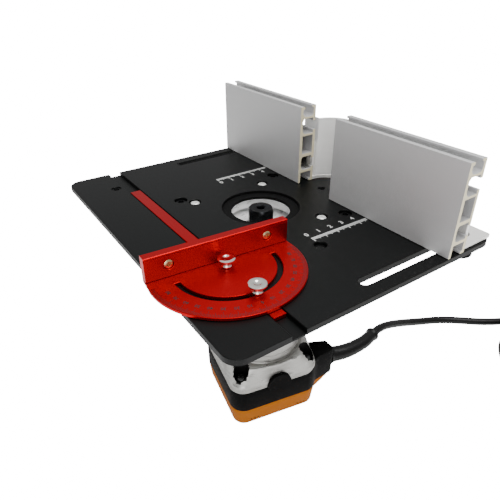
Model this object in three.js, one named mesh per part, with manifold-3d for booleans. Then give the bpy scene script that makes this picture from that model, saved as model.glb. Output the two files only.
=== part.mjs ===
// A router table: an aluminium table plate carried on a trim router that stands on its end cap,
// with a split fence on a sliding bracket and a mitre gauge in a slot across the plate.
// Millimetres, +Z up. z = 0 is the surface that the router's end cap stands on.
import * as THREE from "three";
import { mergeVertices } from "three/addons/utils/BufferGeometryUtils.js";
import Module from "manifold-3d";

const wasm = await Module();
wasm.setup();

// ---------------------------------------------------------------- driving dimensions
const gap = 0.3; // clearance between pieces that touch or slide
const through = 1; // how far a cutter runs past the face it opens

const tableHeight = 178; // top of the plate above the standing surface
const plate = { width: 242.2, depth: 193.8, thickness: 4.1, corner: 9 };
const spindle = { x: 121.6, y: 101.1 }; // the router's axis from the plate's front left corner
const opening = { radius: 21, ledgeRadius: 27.5, ledgeDepth: 2 };
const mitreSlot = { y: 38, width: 9.1, depth: 2.9 };
const fenceSlot = { width: 7, inset: 12.5, front: 90, back: 186 };
const pinHole = { x: 186.7, y: 99.9, sink: 4.25, radius: 2.4 };
const cornerHole = { inset: 32, front: 27.9, sink: 3.7, radius: 2.2 };
const rearHole = { x: 122.5, y: 157.6, radius: 2.7 };

const tube = { radius: 32.5, wall: 3, top: 165, shoulder: 57 };
const collar = { wall: 7, height: 40.6, flange: 6, halfWidth: 50, bore: 23, slit: 4 };
const baseScrew = { dx: 35, dy: 30, x: 123, y: 96.3, head: 3.25, recess: 4.25, shank: 1.9, depth: 2.2 };
const blackScrew = { offset: 42, head: 4.2, recess: 4.7, shank: 2.2, depth: 3 };
const screwTail = 1.6; // thread showing below the flange

const fence = { y: 148.5, height: 58.7, thickness: 14.5, leftEnd: 105.2, rightStart: 140.9 };
const bracket = { flange: 2.4, base: 2.5, rise: 29.6, depth: 29, inset: 1.5 };
const hood = { radius: 18, sheet: 1.2, height: 45.4, wing: 16 };
const tBolt = { z: 15.4, shank: 2.5, headWidth: 10, headHeight: 9.4, headDepth: 3.3 };
const tBoltX = { inner: 6.2, outer: 80 }; // from a fence's inner end
const slotBolt = { y: 178, shank: 2.9, head: 4.7, headDepth: 1.1, length: 14.6 };
const slotKnob = { radius: 9, height: 6.2 };

const bar = { start: 45, end: 227, width: 7.7, thickness: 2.5, below: 0.1 };
const pivot = { x: 177.6, radius: 2.2 };
const protractor = { radius: 45.6, thickness: 1.9, halfWidth: 45 };
const arcSlot = { radius: 30.1, width: 3.4, reach: 89 };
const gaugeFence = { face: 7, thickness: 5.4, length: 90, height: 14.6 };
const gaugeScrew = { offset: 31, head: 2.7, z: 7.3 };
const gaugeTurn = -4.2; // the gauge head stands a little off square
const knob = { radius: 5.2, disc: 1.4, height: 6.2, stem: 2.5, foot: 3 };

const body = { half: 38.2, corner: 12 };
const caseTurn = -11.5; // degrees by which the square case stands turned in the clamp
const capHeight = 18;
const bandTop = 38;
const flangeTop = 43;
const bossTop = 58;
const boss = { radius: 8, pocket: 5, screwHead: 4, screw: 2 };
const brushLobe = { radius: 10.5, proud: 1.6 };
const cordBoss = { x: 28.4, end: 52, halfWidth: 9 };
const frontBearing = { outer: 14, inner: 6, height: 8, top: 159.7 };
const rearBearing = { outer: 11, inner: 4, height: 7, bottom: 6 };
const nut = { flats: 17, height: 15, top: tableHeight - 0.7, bore: 3.6, socket: 6.4 };
const armature = { radius: 16.5, bottom: 62, top: 112 };
const commutator = { radius: 10, bottom: 22, top: 36 };
const cordDiameter = 7.5;

// where the plate's front left top corner stands: x = 0 is the middle of the plate,
// y = 0 the middle between the plate's rear edge and the front of the gauge's half disc
const plateCorner = {
  x: -plate.width / 2,
  y: -(plate.depth + mitreSlot.y - protractor.radius) / 2,
};

// ---------------------------------------------------------------- shapes
function roundedRectangle(x0, y0, x1, y1, r) {
  const shape = new THREE.Shape();
  shape.moveTo(x0 + r, y0);
  shape.lineTo(x1 - r, y0);
  shape.absarc(x1 - r, y0 + r, r, -Math.PI / 2, 0);
  shape.absarc(x1 - r, y1 - r, r, 0, Math.PI / 2);
  shape.absarc(x0 + r, y1 - r, r, Math.PI / 2, Math.PI);
  shape.absarc(x0 + r, y0 + r, r, Math.PI, Math.PI * 1.5);
  return shape;
}

function polygon(points) {
  return new THREE.Shape(points.map(([x, y]) => new THREE.Vector2(x, y)));
}

function prism(shape, bottom, top, curveSegments = 6) {
  const depth = top - bottom;
  return new THREE.ExtrudeGeometry(shape, { depth, bevelEnabled: false, curveSegments }).translate(
    0,
    0,
    bottom,
  );
}

function block(x0, y0, z0, x1, y1, z1) {
  return new THREE.BoxGeometry(x1 - x0, y1 - y0, z1 - z0).translate(
    (x0 + x1) / 2,
    (y0 + y1) / 2,
    (z0 + z1) / 2,
  );
}

// An upright round post.
function post(x, y, radius, bottom, top, sides = 12) {
  return new THREE.CylinderGeometry(radius, radius, top - bottom, sides)
    .rotateX(Math.PI / 2)
    .translate(x, y, (bottom + top) / 2);
}

// A round post lying along Y, and one lying along X.
function postAlongY(x, z, radius, y0, y1, sides = 12) {
  return new THREE.CylinderGeometry(radius, radius, y1 - y0, sides).translate(x, (y0 + y1) / 2, z);
}

function postAlongX(y, z, radius, x0, x1, sides = 12) {
  return new THREE.CylinderGeometry(radius, radius, x1 - x0, sides)
    .rotateZ(Math.PI / 2)
    .translate((x0 + x1) / 2, y, z);
}

// A solid of revolution about Z from [radius, height] pairs that go round its half section.
function turned(profile, segments = 24) {
  let points = profile.map(([r, z]) => new THREE.Vector2(r, z));
  if (THREE.ShapeUtils.area(points) < 0) {
    points = points.reverse();
  }
  const closesOnAxis = points[0].x === 0 && points[points.length - 1].x === 0;
  if (!closesOnAxis) {
    points.push(points[0].clone());
  }
  return new THREE.LatheGeometry(points, segments).rotateX(Math.PI / 2);
}

function hexagon(flats) {
  const corner = flats / Math.sqrt(3);
  const points = [0, 1, 2, 3, 4, 5].map((k) => {
    const angle = (k * Math.PI) / 3;
    return [corner * Math.cos(angle), corner * Math.sin(angle)];
  });
  return polygon(points);
}

// A straight slot with round ends, lying along Y.
function slotAlongY(x, y0, y1, width) {
  return roundedRectangle(x - width / 2, y0, x + width / 2, y1, width / 2 - 0.001);
}

// ---------------------------------------------------------------- cutting and joining
function solidOf(geometry) {
  const bare = geometry.clone();
  bare.deleteAttribute("normal");
  bare.deleteAttribute("uv");
  const merged = mergeVertices(bare, 1e-4);
  const index = merged.index.array;
  const kept = [];
  for (let i = 0; i < index.length; i += 3) {
    const [a, b, c] = [index[i], index[i + 1], index[i + 2]];
    if (a !== b && b !== c && c !== a) {
      kept.push(a, b, c);
    }
  }
  const vertProperties = new Float32Array(merged.getAttribute("position").array);
  const triVerts = new Uint32Array(kept);
  return new wasm.Manifold(new wasm.Mesh({ numProp: 3, vertProperties, triVerts }));
}

function geometryOf(solid) {
  const made = solid.getMesh();
  const geometry = new THREE.BufferGeometry();
  geometry.setAttribute("position", new THREE.BufferAttribute(made.vertProperties, 3));
  geometry.setIndex(new THREE.BufferAttribute(made.triVerts, 1));
  const faceted = geometry.toNonIndexed();
  faceted.computeVertexNormals();
  return faceted;
}

function join(...parts) {
  return geometryOf(parts.map(solidOf).reduce((whole, part) => whole.add(part)));
}

function cut(part, ...tools) {
  return geometryOf(tools.map(solidOf).reduce((whole, tool) => whole.subtract(tool), solidOf(part)));
}

// ---------------------------------------------------------------- materials
function finish(color, roughness, metalness) {
  return () => new THREE.MeshStandardMaterial({ color, roughness, metalness });
}

const finishes = {
  blackAnodised: finish(0x26292a, 0.5, 0.6),
  silverAnodised: finish(0x9a9c99, 0.42, 0.9),
  brightAluminium: finish(0xdcdcdc, 0.35, 0.9),
  castAluminium: finish(0x9b9b98, 0.5, 0.85),
  redAnodised: finish(0xc80000, 0.35, 0.7),
  chrome: finish(0xe8e8e8, 0.12, 1),
  steel: finish(0xb4b2ae, 0.35, 1),
  blackSteel: finish(0x1c1c1c, 0.4, 0.8),
  copper: finish(0xb0623a, 0.4, 1),
  blackPlastic: finish(0x16181a, 0.55, 0),
  orangePlastic: finish(0xc87a10, 0.45, 0),
  rubber: finish(0x141414, 0.7, 0),
};

function piece(name, geometry, material) {
  const mesh = new THREE.Mesh(geometry, material());
  mesh.name = name;
  return mesh;
}

// ---------------------------------------------------------------- table plate and router clamp
const plateBottom = -plate.thickness;
const flangeFace = plateBottom - gap; // the clamp's flange hangs just under the plate
const flangeUnder = flangeFace - collar.flange;
const collarBottom = flangeFace - collar.height;
const baseScrewSpots = [-1, 1].flatMap((sx) =>
  [-1, 1].map((sy) => [baseScrew.x + sx * baseScrew.dx, baseScrew.y + sy * baseScrew.dy]),
);
const blackScrewSpots = [-1, 1].flatMap((sx) =>
  [-1, 1].map((sy) => [spindle.x + sx * blackScrew.offset, spindle.y + sy * blackScrew.offset]),
);
const fenceSlotXs = [fenceSlot.inset, plate.width - fenceSlot.inset];

function tablePlate() {
  const below = plateBottom - through;
  const slab = prism(roundedRectangle(0, 0, plate.width, plate.depth, plate.corner), plateBottom, 0);
  const tools = [
    block(
      -through,
      mitreSlot.y - mitreSlot.width / 2,
      -mitreSlot.depth,
      plate.width + through,
      mitreSlot.y + mitreSlot.width / 2,
      through,
    ),
    post(spindle.x, spindle.y, opening.ledgeRadius, -opening.ledgeDepth, through, 36),
    post(spindle.x, spindle.y, opening.radius, below, through, 32),
    post(pinHole.x, pinHole.y, pinHole.sink, -1.8, through),
    post(pinHole.x, pinHole.y, pinHole.radius, below, through, 10),
    post(rearHole.x, rearHole.y, rearHole.radius, below, through, 10),
  ];
  for (const x of fenceSlotXs) {
    tools.push(prism(slotAlongY(x, fenceSlot.front, fenceSlot.back, fenceSlot.width), below, through));
  }
  for (const x of [cornerHole.inset, plate.width - cornerHole.inset]) {
    for (const y of [cornerHole.front, plate.depth - cornerHole.front]) {
      tools.push(post(x, y, cornerHole.sink, -0.8, through, 10));
      tools.push(post(x, y, cornerHole.radius, below, through, 8));
    }
  }
  for (const [x, y] of baseScrewSpots) {
    tools.push(post(x, y, baseScrew.recess, -baseScrew.depth, through));
    tools.push(post(x, y, baseScrew.shank + gap, below, through, 8));
  }
  for (const [x, y] of blackScrewSpots) {
    tools.push(post(x, y, blackScrew.recess, -blackScrew.depth, through));
    tools.push(post(x, y, blackScrew.shank + gap, below, through, 8));
  }
  return cut(slab, ...tools);
}

// The clamp: a square flange screwed under the plate and a split collar that grips the router's tube.
const ear = {
  inner: tube.radius + 4.5,
  outer: tube.radius + 24.5,
  thickness: 8,
  bottom: -40,
  top: -16,
};
const clampBolt = {
  x: -tube.radius - 16.5,
  z: -28,
  radius: 2.5,
  knob: 8,
  knobLength: 10,
  stem: 4,
  tail: 3,
};
const earFace = collar.slit / 2 + ear.thickness;

function routerClamp() {
  const bore = tube.radius + gap;
  const outer = tube.radius + collar.wall;
  const half = collar.halfWidth;
  const holeEnd = flangeUnder - screwTail - through;
  const parts = [
    prism(roundedRectangle(-half, -half, half, half, 12), flangeUnder, flangeFace),
    post(0, 0, outer, collarBottom, flangeUnder + through, 32),
    block(-ear.outer, -earFace, ear.bottom, -ear.inner, earFace, ear.top),
  ];
  const tools = [
    post(0, 0, bore, collarBottom - through, flangeUnder, 32),
    post(0, 0, collar.bore, flangeUnder - through, flangeFace + through, 28),
    block(
      -ear.outer - through,
      -collar.slit / 2,
      collarBottom - through,
      -tube.radius + 4,
      collar.slit / 2,
      flangeUnder,
    ),
    postAlongY(clampBolt.x, clampBolt.z, clampBolt.radius + gap, -earFace - through, earFace + through),
  ];
  for (const [x, y] of baseScrewSpots) {
    const [dx, dy] = [x - spindle.x, y - spindle.y];
    tools.push(post(dx, dy, baseScrew.shank + gap, holeEnd, flangeFace + through, 8));
  }
  for (const [x, y] of blackScrewSpots) {
    const [dx, dy] = [x - spindle.x, y - spindle.y];
    tools.push(post(dx, dy, blackScrew.shank + gap, holeEnd, flangeFace + through, 8));
  }
  return cut(join(...parts), ...tools);
}

// A hand screw through the collar's ears, with a fluted knob on its rear end.
function clampScrew() {
  const face = earFace + gap;
  const grip = postAlongY(0, 0, clampBolt.knob, face + 3, face + 3 + clampBolt.knobLength, 18);
  const flutes = [0, 1, 2, 3, 4, 5].map((k) => {
    const angle = (k * Math.PI) / 3;
    const reach = clampBolt.knob + 1.5;
    const [x, z] = [reach * Math.cos(angle), reach * Math.sin(angle)];
    return postAlongY(x, z, 3, face + 2, face + 4 + clampBolt.knobLength, 8);
  });
  return join(
    cut(grip, ...flutes),
    postAlongY(0, 0, clampBolt.stem, face, face + 4),
    postAlongY(0, 0, clampBolt.radius, -earFace - clampBolt.tail, face + 4, 12),
  );
}

// A pan-headed screw; its origin is the middle of the head's top.
function panScrew(headRadius, headHeight, shankRadius, length) {
  const profile = [
    [0, -length],
    [shankRadius, -length],
    [shankRadius, -headHeight],
    [headRadius, -headHeight],
    [headRadius, -headHeight * 0.45],
    [headRadius * 0.72, 0],
    [0, 0],
  ];
  return turned(profile, 12);
}

// A low black socket screw.
function socketScrew(headRadius, headHeight, shankRadius, length) {
  const profile = [
    [0, -length],
    [shankRadius, -length],
    [shankRadius, -headHeight],
    [headRadius, -headHeight],
    [headRadius, 0],
    [0, 0],
  ];
  return cut(turned(profile, 12), prism(hexagon(headRadius * 0.8), -headHeight * 0.6, through));
}

function buildTable() {
  const table = new THREE.Group();
  table.add(piece("table_plate", tablePlate(), finishes.blackAnodised));

  const clamp = new THREE.Group();
  clamp.position.set(spindle.x, spindle.y, 0);
  clamp.add(piece("router_clamp", routerClamp(), finishes.castAluminium));
  const screw = piece("clamp_screw", clampScrew(), finishes.blackPlastic);
  screw.position.set(clampBolt.x, 0, clampBolt.z);
  clamp.add(screw);
  table.add(clamp);

  const silverTop = -baseScrew.depth + gap + 1.5;
  const silverLength = silverTop - flangeUnder + screwTail;
  baseScrewSpots.forEach(([x, y], k) => {
    const geometry = panScrew(baseScrew.head, 1.5, baseScrew.shank, silverLength);
    const silver = piece("base_screw_" + (k + 1), geometry, finishes.steel);
    silver.position.set(x, y, silverTop);
    table.add(silver);
  });
  const blackTop = -blackScrew.depth + gap + 1.2;
  const blackLength = blackTop - flangeUnder + screwTail;
  blackScrewSpots.forEach(([x, y], k) => {
    const geometry = socketScrew(blackScrew.head, 1.2, blackScrew.shank, blackLength);
    const black = piece("black_screw_" + (k + 1), geometry, finishes.blackSteel);
    black.position.set(x, y, blackTop);
    table.add(black);
  });
  return table;
}

// ---------------------------------------------------------------- fence
const fenceBack = fence.y + fence.thickness;
const bracketFront = fenceBack + gap + 0.1;
const flangeBack = bracketFront + bracket.flange;
const hoodCentre = { x: (fence.leftEnd + fence.rightStart) / 2, y: bracketFront };
const wingFront = flangeBack + gap;
const wingBack = wingFront + hood.sheet;
const wingEnd = hood.radius + hood.wing;
const innerBoltXs = [fence.leftEnd - tBoltX.inner, fence.rightStart + tBoltX.inner];
const outerBoltXs = [fence.leftEnd - tBoltX.outer, fence.rightStart + tBoltX.outer];

// The fence's section: y from its front face, z from its bottom edge. Front wall, a T-slot low and
// one high in the back, a closed box between them, and an open channel along the top and the bottom.
const section = {
  wall: 2,
  web: 2,
  rearWall: 2.2,
  bottomChannel: 8.1,
  slotFloor: 10.1,
  mouthLow: 11.7,
  mouthHigh: 18.6,
  slotRoof: 20.8,
  boxFloor: 23.1,
  boxRoof: 36.9,
  upperFloor: 38.4,
  upperMouthLow: 40.7,
  upperMouthHigh: 47.6,
  upperRoof: 49.8,
  channelFloor: 51,
};

function fenceSection() {
  const s = section;
  const t = fence.thickness;
  const h = fence.height;
  const inside = t - s.rearWall;
  const lip = inside - 1.5;
  const upperRear = t - 0.4; // the wall above the high T-slot stands a little further in
  const upperInside = upperRear - s.rearWall;
  const beadX = s.wall + 0.4;
  const shape = polygon([
    [0, 0],
    [s.wall, 0],
    [s.wall, s.bottomChannel],
    [inside, s.bottomChannel],
    [inside, 1.6],
    [lip, 1.6],
    [lip, 0],
    [t, 0],
    [t, s.mouthLow],
    [inside, s.mouthLow],
    [inside, s.slotFloor],
    [4.4, s.slotFloor],
    [2.8, s.slotFloor + 1],
    [2.1, s.slotFloor + 3],
    [2.1, s.slotRoof - 2],
    [3.4, s.slotRoof],
    [inside, s.slotRoof],
    [inside, s.mouthHigh],
    [t, s.mouthHigh],
    [t, s.upperMouthLow],
    [inside, s.upperMouthLow],
    [inside, s.upperFloor],
    [4.4, s.upperFloor],
    [2.6, s.upperFloor + 1.6],
    [2.1, s.upperFloor + 3.6],
    [2.1, s.upperRoof - 2],
    [3.6, s.upperRoof],
    [upperInside, s.upperRoof],
    [upperInside, s.upperMouthHigh],
    [upperRear, s.upperMouthHigh],
    [upperRear, h + 0.3],
    [upperInside - 1.6, h + 0.3],
    [upperInside - 1.6, h - 1.1],
    [upperInside, h - 1.1],
    [upperInside, s.channelFloor + 1.5],
    [upperInside - 1.6, s.channelFloor + 0.3],
    [7.5, s.channelFloor],
    [3.8, s.channelFloor + 0.5],
    [s.wall, s.channelFloor + 2.4],
    [s.wall, h - 2.2],
    [beadX + 1, h - 1.9],
    [beadX + 1.4, h - 1],
    [beadX + 1, h - 0.2],
    [beadX, h],
    [0, h],
  ]);
  shape.holes.push(
    polygon([
      [s.wall + 0.4, s.boxFloor],
      [s.wall + 0.4, s.boxRoof],
      [inside, s.boxRoof],
      [inside, s.boxFloor],
    ]),
  );
  return shape;
}

// Carries the section along X: the shape's x runs along Y and its y runs along Z.
function fenceFace(start, end) {
  const turn = new THREE.Matrix4().makeBasis(
    new THREE.Vector3(0, 1, 0),
    new THREE.Vector3(0, 0, 1),
    new THREE.Vector3(1, 0, 0),
  );
  return prism(fenceSection(), 0, end - start).applyMatrix4(turn).translate(start, fence.y, gap);
}

function fenceBracket() {
  const left = bracket.inset;
  const right = plate.width - bracket.inset;
  const bottom = gap;
  const floor = bottom + bracket.base;
  const top = bottom + bracket.rise;
  const reach = hood.radius + hood.sheet + gap;
  const baseBack = bracketFront + bracket.depth;
  const parts = [
    block(left, bracketFront, bottom, right, baseBack, floor),
    block(left, bracketFront, bottom, hoodCentre.x - reach, flangeBack, top),
    block(hoodCentre.x + reach, bracketFront, bottom, right, flangeBack, top),
  ];
  const tools = [post(hoodCentre.x, hoodCentre.y, hood.radius, bottom - through, floor + through, 32)];
  for (const x of fenceSlotXs) {
    tools.push(post(x, slotBolt.y, slotBolt.shank + gap, bottom - through, floor + through, 12));
    const sink = floor - slotBolt.headDepth - gap;
    tools.push(post(x, slotBolt.y, slotBolt.head + gap, sink, floor + through));
  }
  for (const x of [...innerBoltXs, ...outerBoltXs]) {
    const [y0, y1] = [bracketFront - through, flangeBack + through];
    tools.push(postAlongY(x, tBolt.z, tBolt.shank + gap, y0, y1, 12));
  }
  return cut(join(...parts), ...tools);
}

// A sheet bent to a half round behind the cutter, with a wing on each side behind the bracket's flange.
function dustHood() {
  const { x, y } = hoodCentre;
  const inner = hood.radius;
  const outer = hood.radius + hood.sheet;
  const innerAngle = Math.asin((wingFront - y) / inner);
  const outerAngle = Math.asin((wingBack - y) / outer);
  const shape = new THREE.Shape();
  shape.moveTo(x - wingEnd, wingFront);
  shape.lineTo(x - inner * Math.cos(innerAngle), wingFront);
  shape.absarc(x, y, inner, Math.PI - innerAngle, innerAngle, true);
  shape.lineTo(x + wingEnd, wingFront);
  shape.lineTo(x + wingEnd, wingBack);
  shape.lineTo(x + outer * Math.cos(outerAngle), wingBack);
  shape.absarc(x, y, outer, outerAngle, Math.PI - outerAngle, false);
  shape.lineTo(x - wingEnd, wingBack);
  const bottom = gap + bracket.base + gap;
  const sheet = prism(shape, bottom, bottom + hood.height, 9);
  const holes = innerBoltXs.map((boltX) =>
    postAlongY(boltX, tBolt.z, tBolt.shank + gap, wingFront - through, wingBack + through, 12),
  );
  return cut(sheet, ...holes);
}

// A T-bolt: its head slides in the fence's low T-slot and its shank runs back through the flange.
function teeBolt(length) {
  const headFront = fence.y + fence.thickness - section.rearWall - gap - tBolt.headDepth;
  const headBack = headFront + tBolt.headDepth;
  const [w, h] = [tBolt.headWidth / 2, tBolt.headHeight / 2];
  const shankEnd = flangeBack + length;
  return join(
    block(-w, headFront, -h, w, headBack, h),
    postAlongY(0, 0, tBolt.shank, headBack - through, shankEnd, 12),
  );
}

function hexNut(flats, thickness, bore) {
  const washer = post(0, 0, flats * 0.62, 0, 1);
  const hex = prism(hexagon(flats), 0.5, thickness);
  return cut(join(washer, hex), post(0, 0, bore, -through, thickness + through, 12)).rotateX(-Math.PI / 2);
}

// A flush bolt from the bracket down through the plate's slot.
function carriageBolt() {
  const top = gap + bracket.base;
  return turned([
    [0, top - slotBolt.length],
    [slotBolt.shank, top - slotBolt.length],
    [slotBolt.shank, top - slotBolt.headDepth],
    [slotBolt.head, top - slotBolt.headDepth],
    [slotBolt.head, top],
    [0, top],
  ], 12);
}

// The knurled nut under the plate that locks the fence.
function knurledNut() {
  const top = flangeFace;
  const bottom = top - slotKnob.height;
  const grip = post(0, 0, slotKnob.radius, bottom, top - 1, 18);
  const face = post(0, 0, slotKnob.radius - 2.5, top - 2, top, 18);
  return cut(join(grip, face), post(0, 0, slotBolt.shank + gap, bottom - through, top + through, 12));
}

function buildFence() {
  const carriage = new THREE.Group();
  carriage.add(piece("fence_left", fenceFace(0, fence.leftEnd), finishes.silverAnodised));
  carriage.add(piece("fence_right", fenceFace(fence.rightStart, plate.width), finishes.silverAnodised));
  carriage.add(piece("fence_bracket", fenceBracket(), finishes.brightAluminium));
  carriage.add(piece("dust_hood", dustHood(), finishes.brightAluminium));

  const bolts = [
    ["left_inner", innerBoltXs[0], wingBack],
    ["right_inner", innerBoltXs[1], wingBack],
    ["left_outer", outerBoltXs[0], flangeBack],
    ["right_outer", outerBoltXs[1], flangeBack],
  ];
  for (const [place, x, seat] of bolts) {
    const bolt = piece("tee_bolt_" + place, teeBolt(7.5), finishes.steel);
    bolt.position.set(x, 0, tBolt.z);
    carriage.add(bolt);
    const tightened = piece("tee_nut_" + place, hexNut(8, 4, tBolt.shank + gap), finishes.steel);
    tightened.position.set(x, seat + gap, tBolt.z);
    carriage.add(tightened);
  }
  fenceSlotXs.forEach((x, k) => {
    const side = ["left", "right"][k];
    const bolt = piece("slot_bolt_" + side, carriageBolt(), finishes.steel);
    bolt.position.set(x, slotBolt.y, 0);
    const locking = piece("slot_knob_" + side, knurledNut(), finishes.blackPlastic);
    locking.position.set(x, slotBolt.y, 0);
    carriage.add(bolt, locking);
  });
  return carriage;
}

// ---------------------------------------------------------------- mitre gauge
const discBottom = gap;
const discTop = discBottom + protractor.thickness;
const gaugeBottom = discTop + gap;

function mitreBar() {
  const [y0, y1] = [mitreSlot.y - bar.width / 2, mitreSlot.y + bar.width / 2];
  const top = -bar.below;
  const strip = block(bar.start, y0, top - bar.thickness, bar.end, y1, top);
  const [below, above] = [top - bar.thickness - through, top + through];
  return cut(
    strip,
    post(pivot.x, mitreSlot.y, pivot.radius, below, above, 12),
    post(pivot.x + arcSlot.radius, mitreSlot.y, arcSlot.width / 2, below, above, 12),
  );
}

// The half disc, with a strip under the gauge's fence, the pivot hole and the arc slot.
function halfDisc() {
  const r = protractor.radius;
  const back = -gaugeFence.face - gaugeFence.thickness;
  const shape = new THREE.Shape();
  shape.moveTo(back, -protractor.halfWidth);
  shape.lineTo(0, -r);
  shape.absarc(0, 0, r, -Math.PI / 2, Math.PI / 2);
  shape.lineTo(back, protractor.halfWidth);
  const reach = THREE.MathUtils.degToRad(arcSlot.reach);
  const half = arcSlot.width / 2;
  const [inner, outer] = [arcSlot.radius - half, arcSlot.radius + half];
  const slot = new THREE.Shape();
  slot.absarc(0, 0, outer, -reach, reach, false);
  slot.absarc(0, 0, inner, reach, -reach, true);
  const [below, above] = [discBottom - through, discTop + through];
  return cut(
    prism(shape, discBottom, discTop, 20),
    prism(slot, below, above, 10),
    post(0, 0, pivot.radius, below, above, 12),
  );
}

function gaugeFenceBar() {
  const back = -gaugeFence.face - gaugeFence.thickness;
  const half = gaugeFence.length / 2;
  const top = gaugeBottom + gaugeFence.height;
  const rail = block(back, -half, gaugeBottom, -gaugeFence.face, half, top);
  const holes = [-1, 1].flatMap((side) => {
    const y = side * gaugeScrew.offset;
    const z = gaugeBottom + gaugeScrew.z;
    return [
      postAlongX(y, z, gaugeScrew.head + gap, -gaugeFence.face - 1.5, -gaugeFence.face + through),
      postAlongX(y, z, 1.5 + gap, back - through, -gaugeFence.face + through, 8),
    ];
  });
  return cut(rail, ...holes);
}

// A clamping knob: a thin disc on a stem, with a threaded stud that goes down into the bar.
function gaugeKnob(stud) {
  const bottom = discTop + gap;
  const top = discTop + knob.height;
  const end = -bar.below - bar.thickness + 0.1;
  return turned([
    [0, end],
    [stud, end],
    [stud, bottom],
    [knob.foot, bottom],
    [knob.foot, bottom + 1],
    [knob.stem, bottom + 2.4],
    [knob.stem, top - knob.disc],
    [knob.radius, top - knob.disc],
    [knob.radius, top - 0.3],
    [knob.radius - 0.5, top],
    [2.4, top],
    [1.6, top - 0.4],
    [0, top - 0.6],
  ], 16);
}

function buildGauge() {
  const gauge = new THREE.Group();
  gauge.add(piece("mitre_bar", mitreBar(), finishes.redAnodised));
  const pivotKnob = piece("pivot_knob", gaugeKnob(pivot.radius - gap), finishes.chrome);
  pivotKnob.position.set(pivot.x, mitreSlot.y, 0);
  const lockKnob = piece("lock_knob", gaugeKnob(arcSlot.width / 2 - gap), finishes.chrome);
  lockKnob.position.set(pivot.x + arcSlot.radius, mitreSlot.y, 0);
  gauge.add(pivotKnob, lockKnob);

  const head = new THREE.Group();
  head.position.set(pivot.x, mitreSlot.y, 0);
  head.rotation.z = THREE.MathUtils.degToRad(gaugeTurn);
  head.add(piece("protractor", halfDisc(), finishes.redAnodised));
  head.add(piece("gauge_fence", gaugeFenceBar(), finishes.redAnodised));
  [-1, 1].forEach((side, k) => {
    const geometry = panScrew(gaugeScrew.head, 1.1, 1.5, 5).rotateY(Math.PI / 2);
    const fixing = piece("gauge_screw_" + (k + 1), geometry, finishes.steel);
    fixing.position.set(-gaugeFence.face - 0.1, side * gaugeScrew.offset, gaugeBottom + gaugeScrew.z);
    head.add(fixing);
  });
  gauge.add(head);
  return gauge;
}

// ---------------------------------------------------------------- router motor
const caseAngle = THREE.MathUtils.degToRad(caseTurn);
const caseScrewReach = body.half - body.corner + (body.corner - boss.radius - 0.5) / Math.SQRT2;
const caseScrewSpots = [[1, -1], [1, 1], [-1, 1], [-1, -1]].map(([sx, sy]) =>
  new THREE.Vector2(sx * caseScrewReach, sy * caseScrewReach)
    .rotateAround(new THREE.Vector2(), caseAngle)
    .toArray(),
);

function bodyOutline(inset) {
  const side = body.half - inset;
  const square = roundedRectangle(-side, -side, side, side, Math.max(body.corner - inset, 2));
  const middle = new THREE.Vector2();
  return new THREE.Shape(square.getPoints(5).map((point) => point.rotateAround(middle, caseAngle)));
}

// The aluminium casting: a tube that the clamp grips, a shoulder, and a square flange with screw bosses.
function motorHousing() {
  const bore = tube.radius - tube.wall;
  const wide = tube.radius + 4.5;
  const seat = frontBearing.outer + gap;
  const neck = nut.flats / Math.sqrt(3) + 2;
  const seatFloor = frontBearing.top - frontBearing.height - gap;
  const bottom = bandTop;
  const shell = turned([
    [bore, bottom],
    [wide, bottom],
    [wide, tube.shoulder - 1.2],
    [wide - 1.2, tube.shoulder],
    [tube.radius + 0.8, tube.shoulder],
    [tube.radius, tube.shoulder + 0.8],
    [tube.radius, tube.top - 1.5],
    [tube.radius - 1.5, tube.top],
    [neck, tube.top],
    [neck, frontBearing.top + gap],
    [seat, frontBearing.top + gap],
    [seat, seatFloor],
    [seat - 2, seatFloor],
    [seat - 2, seatFloor - 2],
    [seat + 5, seatFloor - 3],
    [bore, seatFloor - 12],
  ], 32);
  const parts = [shell, prism(bodyOutline(0), bottom, flangeTop, 5)];
  const tools = [post(0, 0, bore, bottom - through, bossTop, 32)];
  for (const [x, y] of caseScrewSpots) {
    parts.push(post(x, y, boss.radius, bottom, bossTop, 16));
    tools.push(post(x, y, boss.pocket, flangeTop + 2, bossTop + through));
    tools.push(post(x, y, boss.screw + gap, bottom - through, bossTop, 8));
  }
  tools.push(
    postAlongX(0, bandTop, brushLobe.radius + gap, body.half - 6, body.half + 10, 20).rotateZ(caseAngle),
  );
  return cut(join(...parts), ...tools);
}

// The black band between the casting and the end cap, with the cord's boss and the brush cover's lobe.
function midCase() {
  const [bottom, top] = [capHeight + gap, bandTop - gap];
  const wall = 3;
  const cordHole = postAlongY(cordBoss.x, (bottom + top) / 2, 5 + gap, 30, cordBoss.end + through);
  const shell = cut(
    join(
      prism(bodyOutline(0), bottom, top, 5),
      block(
        cordBoss.x - cordBoss.halfWidth,
        26,
        bottom,
        cordBoss.x + cordBoss.halfWidth,
        cordBoss.end,
        top,
      ),
    ),
    prism(bodyOutline(wall), bottom - through, top + through, 5),
  );
  const lobeInner = body.half - 6 + gap;
  const lobe = cut(
    postAlongX(0, bandTop, brushLobe.radius, lobeInner, body.half + brushLobe.proud, 20),
    block(0, -body.half, 0, body.half * 2, body.half, bandTop - wall),
  ).rotateZ(caseAngle);
  const bosses = caseScrewSpots.map(([x, y]) => post(x, y, boss.radius - 1, bottom, top));
  const holes = caseScrewSpots.map(([x, y]) =>
    post(x, y, boss.screw + gap, bottom - through, top + through, 8),
  );
  const whole = join(shell, lobe, ...bosses);
  const switchWindow = block(
    -body.half - through,
    switchPlace.y - switchPlace.stemHalf - gap,
    switchPlace.z - switchPlace.stemHigh / 2 - gap,
    -body.half + wall + through,
    switchPlace.y + switchPlace.stemHalf + switchPlace.travel + gap,
    switchPlace.z + switchPlace.stemHigh / 2 + gap,
  ).rotateZ(caseAngle);
  return cut(whole, cordHole, switchWindow, ...holes);
}

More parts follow.
